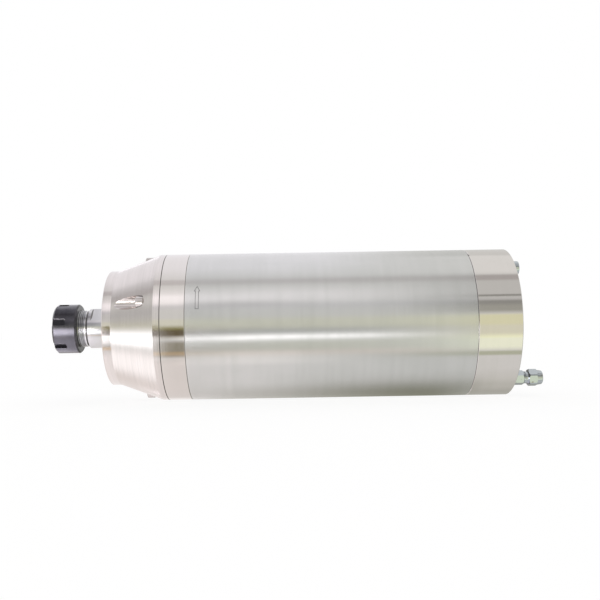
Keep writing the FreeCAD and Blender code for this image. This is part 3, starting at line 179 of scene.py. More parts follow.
class Graph:
    """A material's or the world's node tree, with one method that adds any node."""

    def __init__(self, tree: bpy.types.NodeTree) -> None:
        """Empties the tree and takes it over."""
        self.tree = tree
        tree.nodes.clear()

    def node(
        self,
        kind: str,
        settings: dict | None = None,
        inputs: dict | None = None,
        output: int | str = 0,
    ) -> Socket:
        """Adds a node.

        Args:
            kind: the node's type.
            settings: its own settings, such as a Math node's operation, set first.
            inputs: values or links of its sockets, by name or number.
            output: which of its outputs is wanted.

        Returns:
            That output, ready for arithmetic.
        """
        made = self.tree.nodes.new(kind)
        for name, value in (settings or {}).items():
            setattr(made, name, value)
        for key, value in (inputs or {}).items():
            socket = made.inputs[key]
            if isinstance(value, Socket):
                self.tree.links.new(value.output, socket)
            elif isinstance(value, tuple) and len(value) == 3 and socket.type == "RGBA":
                socket.default_value = (*value, 1.0)
            else:
                socket.default_value = value
        return Socket(self, made.outputs[output] if made.outputs else None)

    def point(self) -> Socket:
        """The place on the object, in metres, in the part's own frame."""
        return self.node("ShaderNodeTexCoord", output="Object")

    def facing(self) -> Socket:
        """How far the surface faces along X, from -1 to 1."""
        return self.axes(self.node("ShaderNodeNewGeometry", output="Normal"))[0]

    def axes(self, vector: Socket) -> tuple[Socket, Socket, Socket]:
        """The three numbers of a vector."""
        outputs = self.node("ShaderNodeSeparateXYZ", inputs={0: vector}).output.node.outputs
        return tuple(Socket(self, outputs[k]) for k in range(3))

    def vector(self, x: Number, y: Number, z: Number) -> Socket:
        """A vector from three numbers."""
        return self.node("ShaderNodeCombineXYZ", inputs={0: x, 1: y, 2: z})

    def stretched(self, vector: Socket, scale: tuple[float, float, float]) -> Socket:
        """The vector with each of its numbers multiplied by its own scale."""
        return self.node("ShaderNodeMapping", inputs={"Vector": vector, "Scale": scale})

    def noise(
        self,
        vector: Socket,
        scale: float = 1.0,
        detail: float = 2.0,
        roughness: float = 0.5,
    ) -> Socket:
        """Soft noise from 0 to 1."""
        return self.node(
            "ShaderNodeTexNoise",
            inputs={
                "Vector": vector,
                "Scale": scale,
                "Detail": detail,
                "Roughness": roughness,
            },
        )

    def step(self, value: Socket, low: float, high: float) -> Socket:
        """Rises softly from 0 at low to 1 at high. It falls where high is the smaller."""
        return self.node(
            "ShaderNodeMapRange",
            {"interpolation_type": "SMOOTHSTEP"},
            {
                "Value": value,
                "From Min": min(low, high),
                "From Max": max(low, high),
                "To Min": 0.0 if low < high else 1.0,
                "To Max": 1.0 if low < high else 0.0,
            },
        )

    def band(self, value: Socket, low: float, high: float, soft: float) -> Socket:
        """A stretch of a value, with soft edges.

        Args:
            value: the value that is looked at.
            low: where the stretch starts.
            high: where it ends.
            soft: the width of each edge.

        Returns:
            1 inside the stretch and 0 outside.
        """
        rise = self.step(value, low - soft / 2, low + soft / 2)
        fall = self.step(value, high + soft / 2, high - soft / 2)
        return rise * fall

    def blend(self, share: Number, first: Tone, second: Tone) -> Socket:
        """Mixes two colours."""
        return self.node(
            "ShaderNodeMix",
            {"data_type": "RGBA"},
            {0: share, 6: first, 7: second},
            output=2,
        )

    def tinted(self, colour: Colour, value: Socket) -> Socket:
        """A colour made brighter or darker by a number."""
        return self.node(
            "ShaderNodeVectorMath",
            {"operation": "SCALE"},
            {0: colour, "Scale": value},
        )

    def added(self, first: Socket, second: Socket) -> Socket:
        """Sum of two colours."""
        return self.node(
            "ShaderNodeVectorMath", {"operation": "ADD"}, {0: first, 1: second}
        )

    def bump(self, height: Socket, rise: float) -> Socket:
        """Relief that stands the given rise, in metres, where the height is 1."""
        return self.node("ShaderNodeBump", inputs={"Height": height, "Distance": rise})


@dataclass(frozen=True)
class Finish:
    """What all finishes share: the way they become a Blender material."""

    name: str

    def material(self) -> bpy.types.Material:
        """Makes the finish's material.

        Returns:
            The material, with its nodes in place.
        """
        made = bpy.data.materials.new(self.name)
        made.use_nodes = True
        graph = Graph(made.node_tree)
        shader = graph.node("ShaderNodeBsdfPrincipled", inputs=self.paint(graph))
        graph.node("ShaderNodeOutputMaterial", inputs={"Surface": shader})
        return made

    def paint(self, graph: Graph) -> dict:
        """Works out the surface.

        Args:
            graph: where the nodes go.

        Returns:
            The values and links of the main shader's sockets.
        """
        raise NotImplementedError


def radius_of(y: Socket, z: Socket) -> Socket:
    """Distance from the X axis, the root of y squared plus z squared."""
    return (y * y + z * z) ** 0.5


def turning_marks(
    graph: Graph, point: Socket, fine: float, drag: float, detail: float = 3.0
) -> Socket:
    """Marks of the lathe's tool, as noise stretched round the axis.

    The tool's path is X plus a share of the radius, so that faces get rings too.

    Args:
        graph: where the nodes go.
        point: the place on the object.
        fine: how quickly the marks change along the tool's path, per metre.
        drag: how quickly they change round the axis, per metre.
        detail: how many finer layers the noise has.

    Returns:
        The marks' height, from 0 to 1.
    """
    radius_share = 0.7
    x, y, z = graph.axes(point)
    feed = x + radius_of(y, z) * radius_share
    drawn = graph.vector(feed * fine, y * drag, z * drag)
    return graph.noise(drawn, detail=detail, roughness=0.6)


def seam_shade(graph: Graph, x: Socket, dark_bands: Sequence[tuple[float, float]]) -> Socket:
    """Dark joints between two rings, and painted shade in the bands on the shaft that are no
    joints.

    Args:
        graph: where the nodes go.
        x: the place along the axis.
        dark_bands: the place and half the width of each joint or painted shade band.

    Returns:
        SEAM_DEPTH in the middle of a band, 0 away from it.
    """
    bands = [graph.band(x, place - half, place + half, half) for place, half in dark_bands]
    share = bands[0]
    for band in bands[1:]:
        share = share.maximum(band)
    return share * SEAM_DEPTH


@dataclass(frozen=True)
class TurnedMetal(Finish):
    """Bright metal off a lathe: rings round the axis and faint clouds of tone."""

    colour: Colour = (0.7, 0.69, 0.68)
    cloud: Colour = (0.64, 0.62, 0.6)
    roughness: float = 0.16
    spread: float = 0.06
    fine: float = 2600.0
    drag: float = 35.0
    relief: float = 2.0e-6
    cloud_scale: float = 45.0
    broad_fine: float = 1 / 9
    broad_drag: float = 1 / 3
    broad_share: float = 0.3
    tone_range: tuple[float, float] = (0.35, 0.68)
    tone_spread: float = 0.02
    dark_bands: tuple[tuple[float, float], ...] = ()

    def paint(self, graph: Graph) -> dict:
        """Rings in the relief and the roughness, clouds in the colour.

        Args:
            graph: where the nodes go.

        Returns:
            The values and links of the main shader's sockets.
        """
        point = graph.point()
        marks = turning_marks(graph, point, self.fine, self.drag)
        fine, drag = self.fine * self.broad_fine, self.drag * self.broad_drag
        broad = turning_marks(graph, point, fine, drag, detail=1.0)
        clouds = graph.noise(point, self.cloud_scale, detail=3.0)
        mixed = clouds * (1.0 - self.broad_share) + broad * self.broad_share
        tone = graph.step(mixed, *self.tone_range)
        skin = graph.blend(tone, self.colour, self.cloud)
        # Dark bands: dark joints between rings, and on the shaft painted shade behind the nut and
        # in the relief groove.
        if self.dark_bands:
            x, _, _ = graph.axes(point)
            skin = graph.blend(seam_shade(graph, x, self.dark_bands), skin, DARK_JOINT_AND_SHADE)
        return {
            "Base Color": skin,
            "Metallic": 1.0,
            "Roughness": self.roughness
            + (marks - 0.5) * self.spread
            + tone * self.tone_spread,
            "Normal": graph.bump(marks, self.relief),
        }


@dataclass(frozen=True)
class ShaftSteel(TurnedMetal):
    """Ground steel of the shaft, with painted shade on the thread and at the ends of the flats.
    """

    thread_start: float = 0.0195
    thread_end: float = THREAD_END
    flat_end: float = 0.0315
    flat_half: float = 0.001
    edge: float = 0.0004
    # Painted shade on the thread next to the nut.
    thread_shade: Colour = (0.36, 0.36, 0.37)
    shade: Colour = (0.1, 0.09, 0.09)

    def paint(self, graph: Graph) -> dict:
        """Blends painted shade on the thread and at the flats' ends over the turned metal.

        Args:
            graph: where the nodes go.

        Returns:
            The values and links of the main shader's sockets.
        """
        values = super().paint(graph)
        x, _, _ = graph.axes(graph.point())
        thread = graph.band(x, self.thread_start, self.thread_end, self.edge)
        half = self.flat_half
        end = graph.band(x, self.flat_end - half, self.flat_end + half, self.edge)
        end = end * graph.step(graph.facing(), 0.4, 0.7)
        # Painted shade on the thread, then painted shade at the ends of the flats.
        skin = graph.blend(thread, values["Base Color"], self.thread_shade)
        values["Base Color"] = graph.blend(end * 0.9, skin, self.shade)
        return values


@dataclass(frozen=True)
class NoseSteel(Finish):
    """The nose: bright lands before and behind a satin cone with visible turning grain."""

    cone_start: float = 0.0555
    cone_end: float = 0.0915
    front_radius: float = 0.049
    edge: float = 0.00015
    pocket_depth: tuple[float, float] = (0.0004, 0.0009)
    steel: Colour = (0.82, 0.77, 0.755)
    shade: Colour = (0.72, 0.68, 0.66)
    bore: Colour = (0.7, 0.65, 0.63)
    # Colour of the painted shade on the faces that look forward.
    face: Colour = (0.6, 0.57, 0.56)
    roughness: float = 0.085
    rougher_cone: float = 0.13
    rougher_face: float = 0.2
    relief: float = 6.0e-6

    def paint(self, graph: Graph) -> dict:
        """Splits the finish by the place along X and works the grain out for each zone.

        A pocket is told from the cone by its depth under the cone's straight line, and the
        nose's front by where it faces.

        Args:
            graph: where the nodes go.

        Returns:
            The values and links of the main shader's sockets.
        """
        point = graph.point()
        x, y, z = graph.axes(point)
        on_cone = graph.band(x, self.cone_start, self.cone_end, self.edge)
        slope = (BODY_RADIUS - self.front_radius) / (self.cone_end - self.cone_start)
        line = self.front_radius + (x - self.cone_start) * slope
        sunk = graph.step(line - radius_of(y, z), *self.pocket_depth) * on_cone
        marks = turning_marks(graph, point, fine=2400.0, drag=30.0)
        grain = turning_marks(graph, point, fine=900.0, drag=16.0, detail=4.0)
        tone = graph.step(grain, 0.3, 0.72)
        outer = graph.blend(tone * 0.6, self.steel, self.shade)
        outer = graph.blend(seam_shade(graph, x, (NOSE_SEAM,)), outer, DARK_JOINT_AND_SHADE)
        # Painted shade on the faces that look forward, which also get a rougher finish below.
        front = graph.step(graph.facing(), -0.85, -0.97)
        outer = graph.blend(front, outer, self.face)
        rough = self.roughness + on_cone * self.rougher_cone + front * self.rougher_face
        rough = rough + (marks - 0.5) * 0.05
        return {
            "Base Color": graph.blend(sunk, outer, self.bore),
            "Metallic": 1.0,
            "Roughness": rough.maximum(0.05),
            "Normal": graph.bump(marks * 0.25 + grain * on_cone, self.relief),
        }


@dataclass(frozen=True)
class SatinJacket(Finish):
    """The jacket tube: fine satin grinding round the axis, with slow changes of tone."""

    colour: Colour = (0.715, 0.71, 0.705)
    cloud: Colour = (0.68, 0.68, 0.67)
    roughness: float = 0.175
    relief: float = 1.0e-5

    def paint(self, graph: Graph) -> dict:
        """Grinding marks tilt the surface along X, so highlights run the tube's length.

        Args:
            graph: where the nodes go.

        Returns:
            The values and links of the main shader's sockets.
        """
        point = graph.point()
        marks = turning_marks(graph, point, fine=3400.0, drag=26.0)
        sweeps = turning_marks(graph, point, fine=120.0, drag=9.0, detail=2.0)
        handling = graph.noise(graph.stretched(point, (14.0, 60.0, 60.0)), detail=4.0)
        tone = graph.step(sweeps * 0.55 + handling * 0.45, 0.36, 0.66)
        x, _, _ = graph.axes(point)
        joints = seam_shade(graph, x, (FLANGE_SEAM, CAP_SEAM))
        skin = graph.blend(tone, self.colour, self.cloud)
        return {
            "Base Color": graph.blend(joints, skin, DARK_JOINT_AND_SHADE),
            "Metallic": 1.0,
            "Roughness": self.roughness + (marks - 0.5) * 0.06 + tone * 0.015,
            "Normal": graph.bump(marks, self.relief),
        }


@dataclass(frozen=True)
class BlackOxide(Finish):
    """The clamping nut: glossy charcoal, bare steel on worn edges, painted glint on slot rims,
    painted shade in slots.
    """

    radius: float = NUT_RADIUS
    length: float = NUT_LENGTH
    slots: int = 6
    slot_angle: float = 16.3
    slot_half: float = 0.00275
    slot_length: float = 0.0109
    slot_corner: float = 0.0013
    edge: float = 0.0001
    slot_rim: float = 0.00025
    soft: float = 0.0002
    skin_depth: float = 0.0009
    slot_shade_depth: float = 0.0012
    bevel: tuple[float, float] = (0.0019, 0.0013)
    bevel_length: float = 0.0006
    back_wear: tuple[float, float] = (0.0012, 0.0007)
    charcoal: Colour = (0.1, 0.098, 0.11)
    faded: Colour = (0.125, 0.122, 0.135)
    # Bare steel of the worn edges, also used as the painted glint on the slots' rims.
    bare: Colour = (0.62, 0.61, 0.62)
    # Colour of the painted shade in the slots.
    slot_shade: Colour = (0.04, 0.04, 0.043)
    roughness: float = 0.2
    relief: float = 2.0e-6

    def slot_distance(self, x: Socket, across: Socket) -> Socket:
        """Distance outside a slot's outline, a strip open at X = 0 with rounded inner corners.

        It is the root of the squares of how far the place lies past the corner's centre
        along X and across the slot, each no less than 0, less the corner's radius.

        Args:
            x: the place along the axis.
            across: the distance from the middle of the nearest slot, round the nut.

        Returns:
            The distance, which is below 0 inside the slot.
        """
        past = (x - (self.slot_length - self.slot_corner)).maximum(0.0)
        aside = (across - (self.slot_half - self.slot_corner)).maximum(0.0)
        return (aside * aside + past * past) ** 0.5 - self.slot_corner

    def paint(self, graph: Graph) -> dict:
        """Wear follows the slots' outline, the front bevel and the back edge. The slots' rims
        also carry a painted glint, full on the lit side, and their floors painted shade.

        Args:
            graph: where the nodes go.

        Returns:
            The values and links of the main shader's sockets.
        """
        point = graph.point()
        x, y, z = graph.axes(point)
        radius = radius_of(y, z)
        turned = z.angle_to(-y) - math.radians(self.slot_angle)
        around = turned.distance_in(2 * math.pi / self.slots)
        reach = self.slot_distance(x, abs(around) * radius)
        rim = graph.band(reach, -self.edge, self.slot_rim, self.soft)
        # Painted shade on the floors of the slots.
        slot_floor_shade = graph.step(radius, self.radius - self.edge, self.radius - self.slot_shade_depth)
        slot_floor_shade = graph.step(reach, self.edge, -self.edge) * slot_floor_shade
        outside = graph.step(radius, self.radius - self.skin_depth, self.radius - self.soft)
        back_low, back_high = (self.length - wear for wear in self.back_wear)
        back = graph.step(x, back_low, back_high) * outside
        bevel_low, bevel_high = (self.radius - depth for depth in self.bevel)
        front = graph.band(radius, bevel_low, bevel_high, 2 * self.soft)
        front = front * graph.step(x, self.bevel_length, self.edge)
        scratches = graph.noise(point, scale=900.0, detail=4.0, roughness=0.7)
        patches = graph.noise(point, scale=160.0, detail=3.0)
        # Painted glint on the slots' rims: full on the lit side of each slot, half on the other.
        lit_side = graph.step(around, -5e-3, 5e-3) * 0.5 + 0.5
        worn = (rim * outside * lit_side).maximum(back * 0.85).maximum(front * 0.5)
        worn = graph.step(worn * 0.75 + scratches * 0.45, 0.72, 1.02)
        marks = turning_marks(graph, point, fine=2200.0, drag=60.0)
        dark = graph.blend(graph.step(patches, 0.35, 0.7), self.charcoal, self.faded)
        dark = graph.blend(slot_floor_shade * 0.8, dark, self.slot_shade)
        return {
            "Base Color": graph.blend(worn, dark, self.bare),
            "Metallic": 0.9,
            "Roughness": self.roughness + (patches - 0.5) * 0.08 + (marks - 0.5) * 0.05,
            "Normal": graph.bump(marks * 0.6 + scratches * 0.4, self.relief),
        }


@dataclass(frozen=True)
class Plating(Finish):
    """Bright plated metal with a slight orange-peel skin and small stains."""

    colour: Colour = (0.57, 0.61, 0.65)
    stain: Colour = (0.3, 0.24, 0.17)
    forward_shade: Colour = (0.06, 0.06, 0.065)
    roughness: float = 0.12
    relief: float = 5.0e-6

    def paint(self, graph: Graph) -> dict:
        """Fine ripples, faint scuffs and rare stains, and painted shade on faces that look
        forward.

        Args:
            graph: where the nodes go.

        Returns:
            The values and links of the main shader's sockets.
        """
        point = graph.point()
        peel = graph.noise(point, scale=700.0)
        scuffs = graph.noise(graph.stretched(point, (2500.0, 300.0, 300.0)))
        stains = graph.step(graph.noise(point, scale=330.0, detail=3.0), 0.66, 0.74)
        # Painted shade on faces that look forward, towards -X.
        front = graph.step(graph.facing(), -0.2, -0.5)
        skin = graph.blend(stains * 0.7, self.colour, self.stain)
        return {
            "Base Color": graph.blend(front * 0.85, skin, self.forward_shade),
            "Metallic": 1.0,
            "Roughness": self.roughness + (scuffs - 0.5) * 0.1 + stains * 0.15,
            "Normal": graph.bump(peel, self.relief),
        }


@dataclass(frozen=True)
class Grained(Finish):
    """Dull material with a fine even grain: rubber, plastic, cast metal or resin."""

    colour: Colour = (0.03, 0.03, 0.03)
    fleck: Colour = (0.05, 0.05, 0.05)
    metallic: float = 0.0
    roughness: float = 0.6
    grain: float = 3000.0
    slow_share: float = 1 / 18
    relief: float = 8.0e-6

    def paint(self, graph: Graph) -> dict:
        """Grain in the relief, flecks in the colour and slow changes in the roughness.

        Args:
            graph: where the nodes go.

        Returns:
            The values and links of the main shader's sockets.
        """
        point = graph.point()
        grain = graph.noise(point, self.grain, detail=3.0, roughness=0.6)
        slow = graph.noise(point, self.grain * self.slow_share)
        tone = graph.step(grain * 0.6 + slow * 0.4, 0.38, 0.64)
        return {
            "Base Color": graph.blend(tone, self.colour, self.fleck),
            "Metallic": self.metallic,
            "Roughness": self.roughness + (slow - 0.5) * 0.2,
            "Normal": graph.bump(grain, self.relief),
        }


@dataclass(frozen=True)
class WovenResin(Finish):
    """Cage resin that shows the cotton fabric inside it as a fine cross weave."""

    colour: Colour = (0.33, 0.22, 0.12)
    thread: Colour = (0.45, 0.33, 0.19)
    threads: float = 9000.0
    relief: float = 1.5e-5

    def paint(self, graph: Graph) -> dict:
        """Two crossed waves make the weave.

        Args:
            graph: where the nodes go.

        Returns:
            The values and links of the main shader's sockets.
        """
        point = graph.point()
        x, y, z = graph.axes(point)
        weave = (x * self.threads).wave() * ((y + z) * self.threads).wave()
        patches = graph.noise(point, scale=400.0)
        tone = graph.step(weave * 0.5 + patches * 0.9, 0.1, 0.9)
        return {
            "Base Color": graph.blend(tone, self.colour, self.thread),
            "Roughness": 0.45 + tone * 0.15,
            "Normal": graph.bump(weave, self.relief),
        }


@dataclass(frozen=True)
class SheetStack(Finish):
    """Stacked electrical steel: thin sheets side by side along X, coats worn at the rims."""

    colour: Colour = (0.2, 0.21, 0.235)
    bright: Colour = (0.42, 0.42, 0.43)
    sheet: float = 0.0005
    relief: float = 1.5e-5

    def paint(self, graph: Graph) -> dict:
        """A wave along X marks each sheet.

        Args:
            graph: where the nodes go.

        Returns:
            The values and links of the main shader's sockets.
        """
        point = graph.point()
        x, _, _ = graph.axes(point)
        sheets = (x * (2 * math.pi / self.sheet)).wave()
        rub = graph.noise(point, scale=220.0, detail=4.0)
        tone = graph.step(sheets * 0.2 + rub, 0.45, 0.8)
        return {
            "Base Color": graph.blend(tone, self.colour, self.bright),
            "Metallic": 0.8,
            "Roughness": 0.45 + rub * 0.15,
            "Normal": graph.bump(sheets, self.relief),
        }


@dataclass(frozen=True)
class WoundCopper(Finish):
    """Enamelled copper wire laid round the stator under a coat of varnish."""

    colour: Colour = (0.58, 0.26, 0.1)
    dark: Colour = (0.3, 0.11, 0.04)
    wire: float = 0.0009
    stray: float = 0.004
    relief: float = 6.0e-5

    def paint(self, graph: Graph) -> dict:
        """Waves across the bundle stand for the wires.

        Args:
            graph: where the nodes go.

        Returns:
            The values and links of the main shader's sockets.
        """
        point = graph.point()
        x, y, z = graph.axes(point)
        stray = graph.noise(point, scale=150.0) * self.stray
        wires = ((x + radius_of(y, z) + stray) * (2 * math.pi / self.wire)).wave()
        tone = graph.step(wires, 0.3, -0.8)
        return {
            "Base Color": graph.blend(tone, self.colour, self.dark),
            "Metallic": 0.7,
            "Roughness": 0.28 + tone * 0.2,
            "Coat Weight": 0.5,
            "Normal": graph.bump(wires, self.relief),
        }


@dataclass(frozen=True)
class MarkInk(Finish):
    """The grey of a fine marking burnt into steel."""

    colour: Colour = (0.1, 0.1, 0.105)
    thin: Colour = (0.24, 0.24, 0.24)

    def paint(self, graph: Graph) -> dict:
        """The mark is thinner in places.

        Args:
            graph: where the nodes go.

        Returns:
            The values and links of the main shader's sockets.
        """
        worn = graph.noise(graph.point(), scale=1400.0, detail=3.0)
        return {
            "Base Color": graph.blend(graph.step(worn, 0.45, 0.75), self.colour, self.thin),
            "Metallic": 0.3,
            "Roughness": 0.5 + worn * 0.1,
        }


class Finishes:
    """Makes each finish once and hands it to the nodes and pieces by slot."""

    def __init__(self) -> None:
        """Lists the finishes of this spindle."""
        listed = {
            Slot.BLACK_OXIDE: BlackOxide("black_oxide"),
            Slot.GROUND: ShaftSteel(
                "ground_bright",
                (0.68, 0.675, 0.68),
                (0.6, 0.595, 0.6),
                roughness=0.1,
                spread=0.05,
                relief=1.2e-6,
                # Painted shade on the neck behind the nut and in the relief groove.
                dark_bands=(NECK_SHADE, RELIEF_SHADE),
            ),
            Slot.BEARING: TurnedMetal(
                "bearing_bright", (0.66, 0.66, 0.68), (0.6, 0.6, 0.61), roughness=0.1
            ),
            Slot.CAGE_RESIN: WovenResin("woven_resin"),
            Slot.POLISHED: TurnedMetal(
                "polished_ring",
                (0.81, 0.77, 0.75),
                (0.785, 0.75, 0.725),
                roughness=0.065,
                spread=0.03,
                drag=28.0,
                relief=1.4e-6,
                dark_bands=(NOSE_SEAM, FLANGE_SEAM, CAP_SEAM),
            ),
            Slot.CONE: NoseSteel("nose_steel"),
            Slot.JACKET: SatinJacket("satin_jacket"),
            Slot.SCREW: TurnedMetal(
                "bright_screw", (0.7, 0.66, 0.64), (0.6, 0.56, 0.54), roughness=0.24
            ),
            Slot.SLEEVE: TurnedMetal(
                "turned_aluminium",
                (0.76, 0.77, 0.78),
                (0.7, 0.71, 0.72),
                roughness=0.3,
                spread=0.1,
                fine=1500.0,
                drag=30.0,
                relief=6.0e-6,
            ),
            Slot.CAST_CAGE: Grained(
                "cast_aluminium",
                (0.68, 0.69, 0.7),
                (0.58, 0.59, 0.6),
                metallic=1.0,
                roughness=0.42,
                grain=900.0,
                relief=3.0e-5,
            ),
            Slot.LAMINATION: SheetStack("sheet_stack"),
            Slot.WINDING: WoundCopper("wound_copper"),
            Slot.RUBBER: Grained("black_rubber"),
            Slot.PLATED: Plating("bright_plating"),
            Slot.BRASS: TurnedMetal(
                "bare_brass", (0.8, 0.62, 0.3), (0.7, 0.5, 0.22), roughness=0.2
            ),
            Slot.SHELL: Plating(
                "shell_plating",
                (0.72, 0.73, 0.73),
                (0.6, 0.58, 0.53),
                roughness=0.24,
                relief=1.2e-5,
            ),
            Slot.PLASTIC: Grained(
                "black_plastic",
                (0.03, 0.03, 0.033),
                (0.055, 0.055, 0.06),
                roughness=0.42,
                grain=2600.0,
                relief=9.0e-6,
            ),
            Slot.LEAD: Grained(
                "silicone_lead",
                (0.28, 0.06, 0.035),
                (0.36, 0.09, 0.05),
                roughness=0.55,
                grain=1400.0,
                relief=1.2e-5,
            ),
            Slot.GOLD: TurnedMetal(
                "contact_gold", (0.93, 0.72, 0.33), (0.85, 0.62, 0.25), roughness=0.18
            ),
        }
        self.made = {slot: finish.material() for slot, finish in listed.items()}

    def dress(self, piece: bpy.types.Object, slot: Slot) -> None:
        """Puts the slot's material on a piece."""
        piece.data.materials.clear()
        piece.data.materials.append(self.made[slot])

    def dress_frame(self) -> None:
        """Gives every CAD node the finish that its slot names."""
        for part in frame["record"]["subparts"]:
            self.dress(frame["nodes"][part["node"]], Slot(part["material_slot"]))
            LOG.info("dressed %s", part["node"])


def quads(rings: int, around: int) -> np.ndarray:
    """Faces of a grid of points, ring after ring, each of which is closed.

    Args:
        rings: number of rings of points.
        around: points in each ring.

    Returns:
        Indices of the four corners of each face.
    """
    ring = np.arange(rings - 1)[:, None] * around
    place = np.arange(around)[None, :]
    beyond = (place + 1) % around
    corners = (ring + place, ring + beyond, ring + around + beyond, ring + around + place)
    return np.stack(corners, axis=-1).reshape(-1, 4)


def add_piece(
    name: str,
    points: np.ndarray,
    faces: Iterable[Sequence[int]],
    body: Body,
) -> bpy.types.Object:
    """Turns points and faces into a flat-shaded piece that rides on a body.

    Args:
        name: the piece's name.
        points: its points in metres, in the part's frame.
        faces: the corners of each face.
        body: the CAD body that carries it.

    Returns:
        The new object.
    """
    mesh = bpy.data.meshes.new(name)
    mesh.from_pydata(points.tolist(), [], [list(map(int, face)) for face in faces])
    mesh.polygons.foreach_set("use_smooth", [False] * len(mesh.polygons))
    mesh.update()
    piece = bpy.data.objects.new(name, mesh)
    bpy.context.scene.collection.objects.link(piece)
    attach(piece, body.value)
    LOG.info("made %s with %d faces", name, len(mesh.polygons))
    return piece


@dataclass(frozen=True)
class Thread:
    """A right-hand thread ridge wound on a cylinder along X."""

    name: str
    start: float
    end: float
    root: float
    crest: float
    pitch: float
    body: Body
    slot: Slot
    centre: tuple[float, float] = (0.0, 0.0)
    steps: int = 60
    sink: float = 4.0e-5
    foot_share: float = 0.44
    flat_share: float = 0.08
    fade_rate: float = 3.0

    def build(self, finishes: Finishes) -> bpy.types.Object:
        """Makes the ridge and dresses it.

        The ridge's section is a trapezium whose foot is just under the root. It is carried
        along the helix X = start + pitch * turns, at the angle 2 pi * turns, and its height
        grows from nothing over the first third of a turn and falls again at the end.

        Args:
            finishes: where its finish comes from.

        Returns:
            The new piece.
        """
        foot, flat = self.pitch * self.foot_share, self.pitch * self.flat_share
        turns = (self.end - self.start - 2 * foot) / self.pitch
        count = int(turns * self.steps) + 1
        along = np.linspace(0.0, turns, count)
        fade = np.clip(np.minimum(along, turns - along) * self.fade_rate, 0.0, 1.0)
        fade = fade * fade * (3.0 - 2.0 * fade)
        low = self.root - self.sink
        crest = self.root + (self.crest - self.root) * fade
        middle = self.start + foot + self.pitch * along
        ones = np.ones(count)
        x = np.stack([middle - foot, middle - flat, middle + flat, middle + foot], axis=1)
        radius = np.stack([low * ones, crest, crest, low * ones], axis=1)
        angle = (2.0 * np.pi * along)[:, None]
        y = radius * np.cos(angle) + self.centre[0]
        z = radius * np.sin(angle) + self.centre[1]
        points = np.stack([x, y, z], axis=-1).reshape(-1, 3)
        faces = quads(count, 4)[:, ::-1].tolist()
        last = 4 * (count - 1)
        faces += [[0, 1, 2, 3], [last + 3, last + 2, last + 1, last]]
        piece = add_piece(self.name, points, faces, self.body)
        finishes.dress(piece, self.slot)
        return piece


@dataclass(frozen=True)
class TurningArrow:
    """The outlined arrow marked on the jacket, which shows which way the shaft turns."""

    name: str = "turning_arrow"
    centre: float = JACKET_START + 0.01
    radius: float = BODY_RADIUS
    foot_angle: float = 13.3
    tip_angle: float = 31.1
    head_share: float = 0.22
    head_half: float = 0.0022
    stem_half: float = 0.00125
    line: float = 0.00034
    height: float = 2.5e-5
    steps: int = 8

    def outline(self) -> np.ndarray:
        """Corners of the arrow.

        Returns:
            Each corner as (along X, along the circumference), foot first.
        """
        foot = math.radians(self.foot_angle) * self.radius
        tip = math.radians(self.tip_angle) * self.radius
        neck = tip - (tip - foot) * self.head_share
        return np.array(
            [
                (-self.stem_half, foot),
                (self.stem_half, foot),
                (self.stem_half, neck),
                (self.head_half, neck),
                (0.0, tip),
                (-self.head_half, neck),
                (-self.stem_half, neck),
            ]
        )

    @staticmethod
    def moved(corners: np.ndarray, distance: float) -> np.ndarray:
        """Each corner moved so that both of its sides go outwards by the distance.

        The corner moves along the sum of its two sides' outward normals, divided by one plus
        the normals' dot product, times the distance.

        Args:
            corners: the corners in order.
            distance: how far the sides go, below 0 for inwards.

        Returns:
            The moved corners.
        """
        sides = np.roll(corners, -1, axis=0) - corners
        sides /= np.linalg.norm(sides, axis=1)[:, None]
        normals = np.stack([sides[:, 1], -sides[:, 0]], axis=1)
        before = np.roll(normals, 1, axis=0)
        share = 1.0 + (normals * before).sum(axis=1)
        return corners + distance * (normals + before) / share[:, None]

    def build(self) -> bpy.types.Object:
        """Makes the line as a thin closed band on the jacket, with an ink of its own.

        The outline is offset by half the line's width to both sides, each side is divided
        evenly, and every point (u, v) goes to X = centre + u and the angle v / radius above
        -Y, once just above and once just below the jacket's skin.

        Returns:
            The new piece.
        """
        corners = self.outline()
        share = np.arange(self.steps)[:, None, None] / self.steps
        rims = []
        for distance in (self.line / 2, -self.line / 2):
            rim = self.moved(corners, distance)
            beyond = np.roll(rim, -1, axis=0)
            points = rim[None] * (1 - share) + beyond[None] * share
            rims.append(points.transpose(1, 0, 2).reshape(-1, 2))
        heights = (self.height, self.height, -self.height, -self.height)
        flat = (rims[0], rims[1], rims[1], rims[0])
        loops = []
        for line, height in zip(flat, heights):
            x = self.centre + line[:, 0]
            angle = line[:, 1] / self.radius
            radius = self.radius + height
            y, z = -radius * np.cos(angle), radius * np.sin(angle)
            loops.append(np.stack([x, y, z], axis=-1))
        points = np.stack(loops, axis=1)
        around = points.shape[0]
        points = np.concatenate([points, points[:1]]).reshape(-1, 3)
        faces = quads(around + 1, 4)
        faces = np.where(faces >= 4 * around, faces - 4 * around, faces)
        points = points[: 4 * around]
        piece = add_piece(self.name, points, faces, Body.HOUSING)
        piece.data.materials.append(MarkInk("marking_ink").material())
        return piece


@dataclass(frozen=True)
class Shaft:
    """The visible end of the shaft: the thread that carries the clamping nut."""

    neck: Thread = Thread(
        "neck_thread",
        start=0.0083,
        end=THREAD_END,
        root=0.015513,
        crest=0.0157,
        pitch=0.0015,
        body=Body.ROTOR,
        slot=Slot.GROUND,
    )

    def build(self, finishes: Finishes) -> None:
        """Winds the thread on the neck."""
        self.neck.build(finishes)


